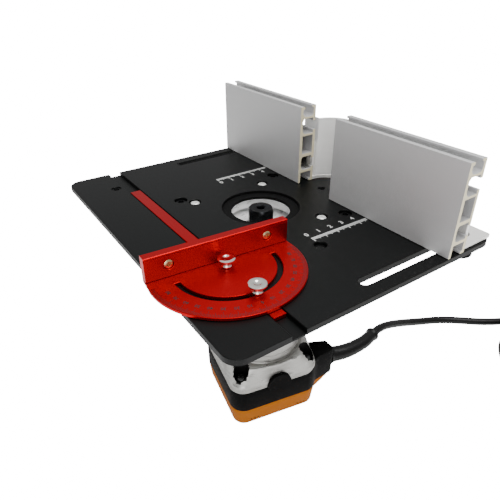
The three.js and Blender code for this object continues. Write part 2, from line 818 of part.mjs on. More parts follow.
// The orange end cap: a tray that the router stands on, with the rear bearing's seat in its floor.
function endCap() {
  const floor = 2.5;
  const outline = bodyOutline(0);
  const foot = 3.5; // the cap draws in towards the surface it stands on
  const upper = prism(outline, foot + 2.5, capHeight, 5);
  const lower = prism(bodyOutline(1), foot - 1, foot + 3, 5);
  const sole = prism(bodyOutline(foot), 0, foot, 5);
  const lip = block(
    cordBoss.x - cordBoss.halfWidth + 1,
    26,
    capHeight - 5,
    cordBoss.x + cordBoss.halfWidth - 1,
    cordBoss.end - 2,
    capHeight,
  );
  const hollow = prism(bodyOutline(foot + 3), floor, capHeight + through, 5);
  const seat = turned([
    [rearBearing.outer + gap, floor - through],
    [rearBearing.outer + gap + 2.5, floor - through],
    [rearBearing.outer + gap + 2.5, rearBearing.bottom + rearBearing.height],
    [rearBearing.outer + gap, rearBearing.bottom + rearBearing.height],
  ], 20);
  const shelf = post(0, 0, rearBearing.outer + gap, floor - through, rearBearing.bottom - gap, 20);
  const shaftWell = post(0, 0, rearBearing.inner + 2, floor, rearBearing.bottom);
  const bosses = caseScrewSpots.map(([x, y]) => post(x, y, boss.radius - 1, floor - through, capHeight));
  const holes = caseScrewSpots.map(([x, y]) => post(x, y, boss.screw + gap, 5, capHeight + through, 8));
  const tray = cut(join(upper, lower, sole, lip), hollow);
  return cut(join(tray, seat, shelf, ...bosses), shaftWell, ...holes);
}

// A slide switch on the left of the band: a ribbed button outside and a stem through the wall.
const switchPlace = { y: -12, z: 28, half: 7, high: 9, proud: 2.6, stemHalf: 2.5, stemHigh: 4, travel: 4 };

function switchSlide() {
  const s = switchPlace;
  const face = -body.half - gap;
  return join(
    block(face - s.proud, s.y - s.half, s.z - s.high / 2, face, s.y + s.half, s.z + s.high / 2),
    block(
      face - 1,
      s.y - s.stemHalf,
      s.z - s.stemHigh / 2,
      -body.half + 5,
      s.y + s.stemHalf,
      s.z + s.stemHigh / 2,
    ),
  ).rotateZ(caseAngle);
}

function ringBetween(inner, outer, bottom, top, segments = 20) {
  return turned([
    [inner, bottom],
    [outer, bottom],
    [outer, top],
    [inner, top],
  ], segments);
}

// The stator's laminated ring, with a flat on each side where its coils pass.
const stator = { inner: armature.radius + 0.8, outer: tube.radius - tube.wall - gap };
const coil = { inner: 19, outer: 28, height: 6 };

// The shaft: a journal for the rear bearing, the armature's seat, and the front journal and collet cone.
const shaft = { radius: 5 };

function armatureShaft() {
  const rearTop = rearBearing.bottom + rearBearing.height + 1;
  return turned([
    [0, rearBearing.bottom - 0.8],
    [rearBearing.inner - gap, rearBearing.bottom - 0.8],
    [rearBearing.inner - gap, rearTop],
    [shaft.radius, rearTop],
    [shaft.radius, 150],
    [frontBearing.inner - gap, 150],
    [frontBearing.inner - gap, nut.top - 9.5],
    [nut.bore + 0.5 + gap, nut.top - 9.5],
    [nut.bore + gap, frontBearing.top + 2],
    [0, frontBearing.top + 2],
  ], 16);
}

function coolingFan() {
  const [bottom, top] = [120, 131];
  const hub = ringBetween(shaft.radius + gap, 9, bottom, top, 16);
  const disc = ringBetween(shaft.radius + gap + 1, 26, bottom, bottom + 1.6, 24);
  const blades = [0, 1, 2, 3, 4, 5, 6, 7].map((k) =>
    block(8, -0.8, bottom + 0.5, 26, 0.8, top).rotateZ((k * Math.PI) / 4),
  );
  return join(hub, disc, ...blades);
}

// The collet: a slit cone in the nut that grips the cutter's shank.
function splitCollet() {
  const [bottom, top] = [frontBearing.top + 2 + gap, nut.top - 1.4];
  const bore = 3.2;
  const cone = turned([
    [bore, bottom],
    [nut.bore - 0.1, bottom],
    [nut.bore + 0.2, nut.top - 9.2],
    [nut.socket - gap - 0.6, nut.top - 9.2],
    [nut.socket - gap - 0.6, nut.top - 6],
    [nut.bore + 0.9, top],
    [bore, top],
  ], 16);
  return cut(cone, block(0, -0.4, bottom + 3, 10, 0.4, top + through));
}

// The collet nut: a hexagon with a chamfered round top, bored for the cutter and hollow for the collet.
function colletNut() {
  const bottom = nut.top - nut.height;
  const corner = nut.flats / Math.sqrt(3);
  const envelope = turned([
    [0, bottom],
    [corner + 1, bottom],
    [corner + 1, nut.top - 1.6],
    [nut.flats / 2 - 0.9, nut.top],
    [0, nut.top],
  ], 24);
  const blank = geometryOf(solidOf(prism(hexagon(nut.flats), bottom, nut.top)).intersect(solidOf(envelope)));
  const hollow = turned([
    [0, bottom - through],
    [nut.socket, bottom - through],
    [nut.socket, nut.top - 5],
    [nut.bore + 1.6, nut.top - 1],
    [nut.bore, nut.top - 1],
    [nut.bore, nut.top + through],
    [0, nut.top + through],
  ], 18);
  return cut(blank, hollow);
}

function buildMotor() {
  const motor = new THREE.Group();
  motor.add(piece("motor_housing", motorHousing(), finishes.castAluminium));
  motor.add(piece("mid_case", midCase(), finishes.blackPlastic));
  motor.add(piece("end_cap", endCap(), finishes.orangePlastic));
  motor.add(piece("switch_slide", switchSlide(), finishes.blackPlastic));
  caseScrewSpots.forEach(([x, y], k) => {
    const top = flangeTop + 2 + gap + 3;
    const geometry = panScrew(boss.screwHead, 3, boss.screw, top - 8);
    const long = piece("case_screw_" + (k + 1), geometry, finishes.steel);
    long.position.set(x, y, top);
    motor.add(long);
  });

  const { bottom, top } = armature;
  const core = ringBetween(stator.inner, stator.outer, bottom, top, 24);
  motor.add(piece("stator_core", core, finishes.steel));
  const upperCoil = ringBetween(coil.inner, coil.outer, top + gap, top + gap + coil.height);
  motor.add(piece("stator_coil_upper", upperCoil, finishes.copper));
  const lowerCoil = ringBetween(coil.inner, coil.outer, bottom - gap - coil.height, bottom - gap);
  motor.add(piece("stator_coil_lower", lowerCoil, finishes.copper));
  const frontRing = ringBetween(
    frontBearing.inner,
    frontBearing.outer,
    frontBearing.top - frontBearing.height,
    frontBearing.top,
  );
  motor.add(piece("front_bearing", frontRing, finishes.steel));
  const rearRing = ringBetween(
    rearBearing.inner,
    rearBearing.outer,
    rearBearing.bottom,
    rearBearing.bottom + rearBearing.height,
  );
  motor.add(piece("rear_bearing", rearRing, finishes.steel));
  for (const [side, name] of [[-1, "brush_left"], [1, "brush_right"]]) {
    const x0 = side * (commutator.radius + gap);
    const x1 = side * (body.half - 8);
    const holder = block(Math.min(x0, x1), -4, 26, Math.max(x0, x1), 4, 33).rotateZ(caseAngle);
    motor.add(piece(name, holder, finishes.blackSteel));
  }

  motor.add(piece("armature_shaft", armatureShaft(), finishes.steel));
  const inside = shaft.radius + gap;
  motor.add(piece("armature_core", ringBetween(inside, armature.radius, bottom, top), finishes.steel));
  const segments = ringBetween(inside, commutator.radius, commutator.bottom, commutator.top);
  motor.add(piece("commutator", segments, finishes.copper));
  motor.add(piece("cooling_fan", coolingFan(), finishes.blackPlastic));
  motor.add(piece("collet", splitCollet(), finishes.steel));
  motor.add(piece("collet_nut", colletNut(), finishes.blackSteel));
  return motor;
}

// ---------------------------------------------------------------- cord
// The router's lead, 1.9 m of 7.5 mm rubber cord. The sleeve's points are from the router's axis and the
// cord's are in the object's own frame, from the sleeve to where the coil begins; the rest is wound in
// a flat coil of two layers and three rings.
const cordLift = cordDiameter / 2 + 0.05; // the cord's middle when it lies on the surface
const reliefPath = [
  [28.4, 55.4, 28],
  [30.4, 60.5, 28],
  [33, 69, 28],
  [34.2, 80, 28],
  [34, 93, 28],
  [30.8, 108.2, 28],
];
const cordPath = [
  [31.2, 116.6, 28],
  [29.6, 124.9, 27.6],
  [28.4, 134.9, 25.8],
  [27.9, 146.9, 22],
  [28, 159.9, 17.4],
  [29.1, 174.9, 12.2],
  [32, 191.9, 7.4],
  [37.3, 208.9, 4.6],
  [45.4, 222.4, cordLift],
  [54.6, 233.4, cordLift],
  [63.6, 244, cordLift],
  [71, 254.4, cordLift],
  [77.4, 265.4, cordLift],
  [85.4, 279.4, cordLift],
  [95.4, 289.4, cordLift],
  [107, 294.8, cordLift],
];
const coilRing = { x: 140, y: 250, inner: 27.2, outer: 49.8, height: 15.1 };
const plug = { x: 182, y: 178, width: 24, length: 34, height: 16, bladeLength: 17 };

// A closed tube through rings of the given radii: each ring stands square to the path.
function loft(stations, sides) {
  const centres = stations.map(([point]) => new THREE.Vector3(...point));
  const positions = [];
  const index = [];
  centres.forEach((centre, k) => {
    const before = centres[Math.max(0, k - 1)];
    const after = centres[Math.min(centres.length - 1, k + 1)];
    const along = after.clone().sub(before).normalize();
    const side = new THREE.Vector3(0, 0, 1).cross(along).normalize();
    const up = along.clone().cross(side);
    const radius = stations[k][1];
    for (let i = 0; i < sides; i += 1) {
      const angle = (i / sides) * 2 * Math.PI;
      const point = centre
        .clone()
        .addScaledVector(side, radius * Math.cos(angle))
        .addScaledVector(up, radius * Math.sin(angle));
      positions.push(point.x, point.y, point.z);
    }
  });
  for (let k = 0; k + 1 < centres.length; k += 1) {
    for (let i = 0; i < sides; i += 1) {
      const next = (i + 1) % sides;
      const [a, b] = [k * sides + i, k * sides + next];
      const [c, d] = [a + sides, b + sides];
      index.push(a, b, d, a, d, c);
    }
  }
  const last = (centres.length - 1) * sides;
  for (let i = 1; i + 1 < sides; i += 1) {
    index.push(0, i + 1, i);
    index.push(last, last + i, last + i + 1);
  }
  const geometry = new THREE.BufferGeometry();
  geometry.setAttribute("position", new THREE.Float32BufferAttribute(positions, 3));
  geometry.setIndex(index);
  return geometryOf(solidOf(geometry));
}

// The strain relief: a stub in the boss's hole, a collar against it, and a tapered sleeve with a flare.
function strainRelief() {
  const curve = new THREE.CatmullRomCurve3(reliefPath.map((p) => new THREE.Vector3(...p)));
  const steps = 8;
  const stations = [
    [[cordBoss.x, cordBoss.end - 9, 28], 5],
    [[cordBoss.x, cordBoss.end + gap, 28], 5],
    [[cordBoss.x, cordBoss.end + gap + 0.02, 28], 7],
    [[cordBoss.x, cordBoss.end + gap + 1.6, 28], 7],
  ];
  for (let k = 1; k <= steps; k += 1) {
    const t = k / steps;
    const radius = 6.9 - 1.5 * t;
    stations.push([curve.getPoint(t).toArray(), k === steps ? radius + 0.8 : radius]);
  }
  return loft(stations, 12);
}

function cordTube() {
  const curve = new THREE.CatmullRomCurve3(cordPath.map((p) => new THREE.Vector3(...p)));
  const circle = new THREE.Shape();
  circle.absarc(0, 0, cordDiameter / 2, 0, 2 * Math.PI);
  const options = { steps: 18, extrudePath: curve, curveSegments: 5 };
  return new THREE.ExtrudeGeometry(circle, options);
}

function cordCoil() {
  const { inner, outer, height } = coilRing;
  return turned([
    [inner + 1, 0.1],
    [outer - 1, 0.1],
    [outer, 1.5],
    [outer, height - 1.5],
    [outer - 1, height],
    [inner + 1, height],
    [inner, height - 1.5],
    [inner, 1.5],
  ], 28);
}

// A two-blade plug lying flat, with a short sleeve where the cord goes in.
function plugBody() {
  const [w, l, h] = [plug.width / 2, plug.length, plug.height];
  const outline = polygon([
    [-w * 0.55, 0],
    [w * 0.55, 0],
    [w, -l * 0.35],
    [w, -l],
    [-w, -l],
    [-w, -l * 0.35],
  ]);
  const blades = [-6.35, 6.35].map((x) =>
    block(x - 0.8, -l - plug.bladeLength, h / 2 - 3.2, x + 0.8, -l + 1, h / 2 + 3.2),
  );
  return join(prism(outline, 0.1, h), postAlongY(0, h / 2, 4.6, -1, 10, 12), ...blades);
}

function buildCord() {
  const cord = new THREE.Group();
  cord.add(piece("cord", cordTube(), finishes.rubber));
  const wound = piece("cord_coil", cordCoil(), finishes.rubber);
  wound.position.set(coilRing.x, coilRing.y, 0);
  const end = piece("plug", plugBody(), finishes.rubber);
  end.position.set(plug.x, plug.y, 0);
  cord.add(wound, end);
  return cord;
}

// ---------------------------------------------------------------- the whole object
const routerTable = new THREE.Group();

const table = new THREE.Group();
table.position.set(plateCorner.x, plateCorner.y, tableHeight);
table.add(buildTable(), buildFence(), buildGauge());

const machine = new THREE.Group();
machine.position.set(plateCorner.x + spindle.x, plateCorner.y + spindle.y, 0);
const motor = buildMotor();
motor.add(piece("strain_relief", strainRelief(), finishes.rubber));
machine.add(motor);

const lead = buildCord();
routerTable.add(table, machine, lead);

export default routerTable;
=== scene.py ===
import math

import bpy
import numpy as np
from mathutils import Matrix, Vector


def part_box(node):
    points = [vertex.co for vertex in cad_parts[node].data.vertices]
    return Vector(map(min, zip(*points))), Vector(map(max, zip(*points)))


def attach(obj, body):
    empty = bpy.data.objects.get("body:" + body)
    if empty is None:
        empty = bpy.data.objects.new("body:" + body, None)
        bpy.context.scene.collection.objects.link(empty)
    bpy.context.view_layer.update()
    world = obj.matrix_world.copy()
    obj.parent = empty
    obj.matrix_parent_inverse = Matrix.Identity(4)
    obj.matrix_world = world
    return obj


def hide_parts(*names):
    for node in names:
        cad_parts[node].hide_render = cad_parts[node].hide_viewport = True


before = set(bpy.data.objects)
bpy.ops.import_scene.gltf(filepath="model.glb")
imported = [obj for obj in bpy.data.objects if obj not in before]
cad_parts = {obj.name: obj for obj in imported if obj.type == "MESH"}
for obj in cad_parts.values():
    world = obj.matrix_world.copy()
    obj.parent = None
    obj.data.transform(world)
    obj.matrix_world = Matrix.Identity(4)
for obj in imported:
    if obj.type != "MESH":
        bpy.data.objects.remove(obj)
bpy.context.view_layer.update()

MM = 0.001

# ---------------------------------------------------------------- camera, floor and studio light
# The table is seen from the front right, a little above. The camera's place is given from the plate's
# front left top corner, along and across the plate, in millimetres.
plate_low, plate_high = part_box("table_plate")
plate_corner = np.array([plate_low.x, plate_low.y, plate_high.z])

AZIMUTH, ELEVATION, ROLL = math.radians(56.013), math.radians(31.055), math.radians(-0.486)
AIM = np.array([167.198, 60.815, 0.0]) * MM + plate_corner
DISTANCE = 284.718 * MM
forward = Vector((
    -math.sin(AZIMUTH) * math.cos(ELEVATION),
    math.cos(AZIMUTH) * math.cos(ELEVATION),
    -math.sin(ELEVATION),
))
level = Vector((math.cos(AZIMUTH), math.sin(AZIMUTH), 0))
upward = level.cross(forward)
right = level * math.cos(ROLL) + upward * math.sin(ROLL)
upward = upward * math.cos(ROLL) - level * math.sin(ROLL)
camera_data = bpy.data.cameras.new("camera")
camera_data.lens = 33.985
camera_data.sensor_width = 36
camera_data.clip_start = 0.01
camera = bpy.data.objects.new("camera", camera_data)
stand = Vector(AIM) - forward * DISTANCE
camera.matrix_world = Matrix.Translation(stand) @ Matrix((right, upward, -forward)).transposed().to_4x4()
bpy.context.scene.collection.objects.link(camera)
bpy.context.scene.camera = camera


def linear(code):
    """An sRGB hex colour as linear red, green, blue and alpha."""
    parts = [int(code[i:i + 2], 16) / 255 for i in (1, 3, 5)]
    return [c / 12.92 if c <= 0.04045 else ((c + 0.055) / 1.055) ** 2.4 for c in parts] + [1]


def add(material, kind, inputs=None, **settings):
    """Adds a node. inputs gives each socket a value, or a socket to link it to."""
    made = material.node_tree.nodes.new(kind)
    for key, value in settings.items():
        setattr(made, key, value)
    for key, value in (inputs or {}).items():
        if isinstance(value, bpy.types.NodeSocket):
            material.node_tree.links.new(value, made.inputs[key])
        else:
            made.inputs[key].default_value = value
    return made


GRAIN_RISE = 0.2 * MM  # the height of a surface's grain at full bump strength


def finish_of(name, colour, roughness, metallic, grain_mm=(1, 1, 1), spread=0.12, polish=0.08, bump=0.05,
              **sockets):
    """A worked surface: noise of the given grain sizes shifts the colour by spread, the roughness by
    polish and the height by bump, round the typical values given."""
    material = bpy.data.materials.new(name)
    material.use_nodes = True
    shader = material.node_tree.nodes["Principled BSDF"]
    shader.inputs["Metallic"].default_value = metallic
    for key, value in sockets.items():
        shader.inputs[key.replace("_", " ")].default_value = value
    place = add(material, "ShaderNodeTexCoord")
    scaled = add(material, "ShaderNodeMapping", {
        "Vector": place.outputs["Object"],
        "Scale": [1 / (g * MM) for g in grain_mm],
    })
    grain = add(material, "ShaderNodeTexNoise", {
        "Vector": scaled.outputs[0], "Scale": 1.0, "Detail": 3.0, "Roughness": 0.6,
    })
    low = [c * (1 - spread) for c in linear(colour)[:3]] + [1]
    high = [min(1, c * (1 + spread)) for c in linear(colour)[:3]] + [1]
    tint = add(material, "ShaderNodeMix", {0: grain.outputs["Fac"], 6: low, 7: high}, data_type="RGBA")
    links = material.node_tree.links
    links.new(tint.outputs[2], shader.inputs["Base Color"])
    worn = add(material, "ShaderNodeMapRange", {
        "Value": grain.outputs["Fac"], "From Min": 0.3, "From Max": 0.7,
        "To Min": roughness - polish, "To Max": roughness + polish,
    })
    links.new(worn.outputs[0], shader.inputs["Roughness"])
    if bump:
        raised = add(material, "ShaderNodeBump", {
            "Height": grain.outputs["Fac"], "Strength": bump, "Distance": GRAIN_RISE,
        })
        links.new(raised.outputs[0], shader.inputs["Normal"])
    return material


floor_mesh = bpy.data.meshes.new("floor")
FLOOR = 60.0
floor_mesh.from_pydata(
    [(-FLOOR, -FLOOR, 0), (FLOOR, -FLOOR, 0), (FLOOR, FLOOR, 0), (-FLOOR, FLOOR, 0)], [], [(0, 1, 2, 3)])
floor = bpy.data.objects.new("floor", floor_mesh)
floor.location.z = -0.0005
bpy.context.scene.collection.objects.link(floor)
paper = finish_of("white_paper_sweep", "#ffffff", 0.9, 0, (40, 40, 40), 0.0, 0.02, 0,
                  Emission_Color=(1, 1, 1, 1))
seen = add(paper, "ShaderNodeMapRange", {
    "Value": add(paper, "ShaderNodeLightPath").outputs["Is Camera Ray"], "To Min": 0.15, "To Max": 16.0,
})
paper.node_tree.links.new(
    seen.outputs[0], paper.node_tree.nodes["Principled BSDF"].inputs["Emission Strength"])
floor_mesh.materials.append(paper)

world = bpy.data.worlds.new("studio")
world.use_nodes = True
direction = add(world, "ShaderNodeTexCoord")
height = add(world, "ShaderNodeSeparateXYZ", {"Vector": direction.outputs["Generated"]})
overhead = add(world, "ShaderNodeMapRange", {
    "Value": height.outputs["Z"], "From Min": 0.0, "From Max": 1.0, "To Min": 0.4, "To Max": 1.0,
})
world.node_tree.links.new(overhead.outputs[0], world.node_tree.nodes["Background"].inputs["Strength"])
world.node_tree.nodes["Background"].inputs["Color"].default_value = (1, 1, 1, 1)
bpy.context.scene.world = world


def softbox(name, place_mm, aim_mm, size, power):
    """A square area light at a place, turned to face a point, both in millimetres."""
    data = bpy.data.lights.new(name, "AREA")
    data.size = size
    data.energy = power
    lamp = bpy.data.objects.new(name, data)
    lamp.location = Vector(place_mm) * MM
    direction = (Vector(aim_mm) - Vector(place_mm)).normalized()
    lamp.rotation_euler = direction.to_track_quat("-Z", "Y").to_euler()
    bpy.context.scene.collection.objects.link(lamp)


softbox("top_softbox", (250, 150, 1200), (0, 50, 150), 0.9, 20)
softbox("front_softbox", (900, -700, 500), (0, 0, 120), 0.7, 6)

# ---------------------------------------------------------------- the lead
# 1.9 m of round rubber mains cord, 7.5 mm across. It comes straight out of the strain relief, sinks to the
# surface, and what isn't needed is wound in a flat coil: two layers of three rings, laid side by side.
CORD = 7.5
LIFT = CORD / 2 + 0.05
cord_route = [
    (31.2, 116.6, 28), (29.6, 124.9, 27.6), (28.4, 134.9, 25.8), (27.9, 146.9, 22), (28, 159.9, 17.4),
    (29.1, 174.9, 12.2), (32, 191.9, 7.4), (37.3, 208.9, 4.6), (45.4, 222.4, LIFT), (54.6, 233.4, LIFT),
    (63.6, 244, LIFT), (71, 254.4, LIFT), (77.4, 265.4, LIFT), (85.4, 279.4, LIFT), (95.4, 289.4, LIFT),
    (107, 294.8, LIFT), (122, 296.6, LIFT),
]


def middle(node):
    """The centre of a CAD node's box, in millimetres."""
    low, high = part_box(node)
    return (np.array(low) + np.array(high)) / 2 / MM


coil_middle = middle("cord_coil")[:2]
RINGS = (46.0, 38.5, 31.0)
PITCH = RINGS[0] - RINGS[1]
STEP_IN = 0.2  # the share of each turn in which the cord moves over to the next ring


def ease(x):
    """The smooth step 3x^2 - 2x^3, from 0 to 1."""
    x = np.clip(x, 0, 1)
    return x * x * (3 - 2 * x)


def coil_turns(turns, first):
    """Clockwise turns from the coil's rear point. Turn t lies at angle 90 - 360t degrees. The first layer
    steps in from ring to ring, the second, one cord higher, steps out again, and the end lies on top."""
    t = np.linspace(first, turns, int(turns * 48))
    whole = np.floor(t)
    moved = ease((t - whole - (1 - STEP_IN)) / STEP_IN)
    inward = np.minimum(whole + moved, 2)
    outward = np.clip(whole - 3 + moved, 0, 2)
    radius = np.where(t < 3, RINGS[0] - PITCH * inward, RINGS[2] + PITCH * outward)
    height = LIFT + (CORD + 0.05) * (ease((t - 2.7) / 0.25) + ease((t - 5.72) / 0.25))
    angle = np.pi / 2 - 2 * np.pi * t
    return np.column_stack((
        coil_middle[0] + radius * np.cos(angle), coil_middle[1] + radius * np.sin(angle), height))


def smooth_path(points, spacing):
    """The Catmull-Rom curve through the points, resampled at even steps of about the given spacing."""
    p = np.asarray(points, float)
    p = np.vstack((2 * p[0] - p[1], p, 2 * p[-1] - p[-2]))
    u = np.linspace(0, 1, 24, endpoint=False)[:, None]
    a, b, c, d = p[:-3, None], p[1:-2, None], p[2:-1, None], p[3:, None]
    fine = 0.5 * (2 * b + (c - a) * u + (2 * a - 5 * b + 4 * c - d) * u**2 + (3 * b - a - 3 * c + d) * u**3)
    fine = np.vstack((fine.reshape(-1, 3), p[-2]))
    run = np.concatenate(([0], np.cumsum(np.linalg.norm(np.diff(fine, axis=0), axis=1))))
    even = np.linspace(0, run[-1], max(2, int(run[-1] / spacing)) + 1)
    return np.column_stack([np.interp(even, run, fine[:, k]) for k in range(3)])


def swept(path, radii, sides):
    """A round tube: each ring stands square to the path at radius r(s), with flat closed ends."""
    along = np.gradient(path, axis=0)
    along /= np.linalg.norm(along, axis=1)[:, None]
    side = np.cross(np.tile([0, 0, 1.0], (len(path), 1)), along)
    side /= np.linalg.norm(side, axis=1)[:, None]
    up = np.cross(along, side)
    angle = np.linspace(0, 2 * np.pi, sides, endpoint=False)
    rings = path[:, None] + np.asarray(radii)[:, None, None] * (
        np.cos(angle)[None, :, None] * side[:, None] + np.sin(angle)[None, :, None] * up[:, None])
    n = len(path)
    k, i = np.meshgrid(np.arange(n - 1), np.arange(sides), indexing="ij")
    j = (i + 1) % sides
    quads = np.stack((k * sides + i, k * sides + j, (k + 1) * sides + j, (k + 1) * sides + i), -1)
    faces = quads.reshape(-1, 4).tolist()
    faces.append(list(range(sides - 1, -1, -1)))
    faces.append(list(range((n - 1) * sides, n * sides)))
    return rings.reshape(-1, 3), faces


SHARP = 32  # degrees
LARGE_FACE = 150 * MM**2


def shade(mesh, sharp):
    """Smooth shading except over edges sharper than the given degrees and on large flat faces."""
    area = np.empty(len(mesh.polygons))
    mesh.polygons.foreach_get("area", area)
    mesh.polygons.foreach_set("use_smooth", [True] * len(area))
    mesh.set_sharp_from_angle(angle=math.radians(sharp))
    mesh.polygons.foreach_set("use_smooth", area < LARGE_FACE)


def make(name, verts_mm, faces, materials, body, slot, stands_for=(), sharp=SHARP, second=()):
    """A finished piece: its mesh in metres, smooth except over edges sharper than the given degrees.
    Faces listed in second take the second material."""
    mesh = bpy.data.meshes.new(name)
    mesh.from_pydata((np.asarray(verts_mm) * MM).tolist(), [], faces)
    mesh.validate()
    for material in materials:
        mesh.materials.append(material)
    shade(mesh, sharp)
    if len(second):
        index = np.zeros(len(mesh.polygons), int)
        index[list(second)] = 1
        mesh.polygons.foreach_set("material_index", index)
    mesh.update()
    made = bpy.data.objects.new(name, mesh)
    bpy.context.scene.collection.objects.link(made)
    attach(made, body)
    if stands_for:
        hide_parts(*stands_for)
    return made


rubber = finish_of("cord_rubber", "#020202", 0.38, 0, (0.9, 0.9, 0.9), 0.2, 0.06, 0.15,
                   Specular_IOR_Level=0.22)

plug_low, plug_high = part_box("plug")
plug_middle, _, plug_axis = middle("plug")
LAST_TURN = 6.25
turns = coil_turns(LAST_TURN, 0.01)
tail = [
    (coil_middle[0] + 45.2, coil_middle[1] - 16, LIFT + 2 * CORD - 0.6),
    (plug_middle + 1.6, coil_middle[1] - 36, LIFT + CORD + 3.4),
    (plug_middle + 0.3, coil_middle[1] - 52, plug_axis + 1.2),
    (plug_middle, plug_high.y / MM - 4, plug_axis),
]
lead_path = smooth_path(cord_route + turns[::4].tolist() + tail, 2.5)
lead_tube = swept(lead_path, np.full(len(lead_path), CORD / 2), 12)
lead = make("lead", *lead_tube, [rubber], "motor", "rubber", ("cord", "cord_coil"), 60)

# The strain relief: a moulded rubber sleeve, thick at the router and thinner outwards so that it bends
# evenly, with a collar against the case's boss and a small flare at its end.
axis_xy = middle("collet_nut") * (1, 1, 0)
relief_route = [
    (28.4, 52.3, 28), (28.4, 55.4, 28), (30.4, 60.5, 28), (33, 69, 28), (34.2, 80, 28), (34, 93, 28),
    (30.8, 108.2, 28),
]
relief_path = smooth_path(relief_route, 0.7) + axis_xy
s = np.linspace(0, 1, len(relief_path))
relief_radius = 7.0 - 1.6 * s + 0.9 * ease((s - 0.93) / 0.03) + 0.9 * ease((0.12 - s) / 0.04)
relief_radius[-1] -= 0.6
relief_tube = swept(relief_path, relief_radius, 28)
relief = make("cord_sleeve", *relief_tube, [rubber], "motor", "rubber", ("strain_relief",), 50)

# The plug: a moulded two-blade body, widening from a short narrow sleeve.
plug_back = plug_high.y / MM
plug_front = plug_low.y / MM + 17
run = np.linspace(0, 1, 40)
plug_path = np.column_stack((
    np.full(40, plug_middle), plug_back - 1 - run * (plug_back - 1 - plug_front), np.full(40, plug_axis)))
half_width = 4.6 + 6.9 * ease((run - 0.2) / 0.35) - 0.8 * ease((run - 0.97) / 0.03)
half_height = 4.6 + 2.8 * ease((run - 0.2) / 0.3) - 0.6 * ease((run - 0.97) / 0.03)
around = np.linspace(0, 2 * np.pi, 40, endpoint=False)
cos, sin = np.cos(around), np.sin(around)
superellipse = np.stack((np.sign(cos) * np.abs(cos) ** 0.55, np.sign(sin) * np.abs(sin) ** 0.55))
plug_rings = np.stack((
    plug_path[:, 0:1] + half_width[:, None] * superellipse[0],
    np.repeat(plug_path[:, 1:2], 40, 1),
    plug_path[:, 2:3] + half_height[:, None] * superellipse[1],
), -1)


def skin(rings):
    """Quads between neighbouring rings of points, with a flat face over each end."""
    n, m = rings.shape[:2]
    k, i = np.meshgrid(np.arange(n - 1), np.arange(m), indexing="ij")
    j = (i + 1) % m
    quads = np.stack((k * m + i, k * m + j, (k + 1) * m + j, (k + 1) * m + i), -1).reshape(-1, 4)
    faces = quads.tolist() + [list(range(m - 1, -1, -1)), list(range((n - 1) * m, n * m))]
    return rings.reshape(-1, 3), faces


def joined(*solids):
    """Several solids as one mesh."""
    verts, faces, start = [], [], 0
    for v, f in solids:
        verts.append(v)
        faces += [[i + start for i in face] for face in f]
        start += len(v)
    return np.vstack(verts), faces


plug_piece = make("lead_plug", *skin(plug_rings), [rubber], "motor", "rubber", ("plug",), 40)
nickel = finish_of("nickel_plate", "#c9c5bb", 0.25, 1, (0.4, 8, 0.4), 0.08, 0.06, 0.04)
BLADE_APART, BLADE_THICK, BLADE_WIDE = 12.7, 1.5, 6.3
blade_solids = []
for x in (plug_middle - BLADE_APART / 2, plug_middle + BLADE_APART / 2):
    rows = []
    for y, trim in ((plug_front + 1, 0), (plug_front - 15.5, 0), (plug_front - 17, 0.5)):
        a, b = BLADE_THICK / 2, BLADE_WIDE / 2 - trim
        rows.append([(x + dx, y, plug_axis + dz) for dx, dz in ((-a, -b), (a, -b), (a, b), (-a, b))])
    blade_solids.append(skin(np.array(rows)))
blades = make("plug_blades", *joined(*blade_solids), [nickel], "motor", "rubber", (), 30)

# ---------------------------------------------------------------- shared solids
def circle(x, y, radius, sides=48):
    """Points round a circle, anticlockwise."""
    turn = np.linspace(0, 2 * np.pi, sides, endpoint=False)
    return np.column_stack((x + radius * np.cos(turn), y + radius * np.sin(turn)))


def rounded(x0, y0, x1, y1, r, sides=10):
    """A rectangle with quarter round corners, anticlockwise."""
    corners = ((x1 - r, y0 + r, -90), (x1 - r, y1 - r, 0), (x0 + r, y1 - r, 90), (x0 + r, y0 + r, 180))
    loops = []
    for cx, cy, start in corners:
        turn = np.radians(np.linspace(start, start + 90, sides))
        loops.append(np.column_stack((cx + r * np.cos(turn), cy + r * np.sin(turn))))
    return np.vstack(loops)


def rect_loop(x0, y0, x1, y1):
    """The four corners of a rectangle, anticlockwise."""
    return np.array([(x0, y0), (x1, y0), (x1, y1), (x0, y1)])


def grown(loop, by):
    """The loop with each side moved outwards by the given distance, its corners mitred."""
    loop = np.asarray(loop, float)
    ahead = np.roll(loop, -1, 0) - loop
    ahead /= np.linalg.norm(ahead, axis=1)[:, None]
    normal = np.column_stack((ahead[:, 1], -ahead[:, 0]))
    before = np.roll(normal, 1, 0)
    both = normal + before
    return loop + by * both / np.maximum(0.35, (both * normal).sum(1))[:, None]


def layered(rows):
    """A solid from (outline, height) rows going up, each outline with as many points as the next."""
    return skin(np.array([np.column_stack((ring, np.full(len(ring), z))) for ring, z in rows]))


def upright(loop, z0, z1, bevel=0.3):
    """A prism between two heights with bevelled rims."""
    if not bevel:
        return layered([(loop, z0), (loop, z1)])
    inner_loop = grown(loop, -bevel)
    return layered([(inner_loop, z0), (loop, z0 + bevel), (loop, z1 - bevel), (inner_loop, z1)])


def hollow_skin(rings):
    """Quads between neighbouring rings, and from the last ring back to the first through the inside."""
    n, m = rings.shape[:2]
    k, i = np.meshgrid(np.arange(n), np.arange(m), indexing="ij")
    j, above = (i + 1) % m, (k + 1) % n
    quads = np.stack((k * m + i, k * m + j, above * m + j, above * m + i), -1).reshape(-1, 4)
    return rings.reshape(-1, 3), quads.tolist()


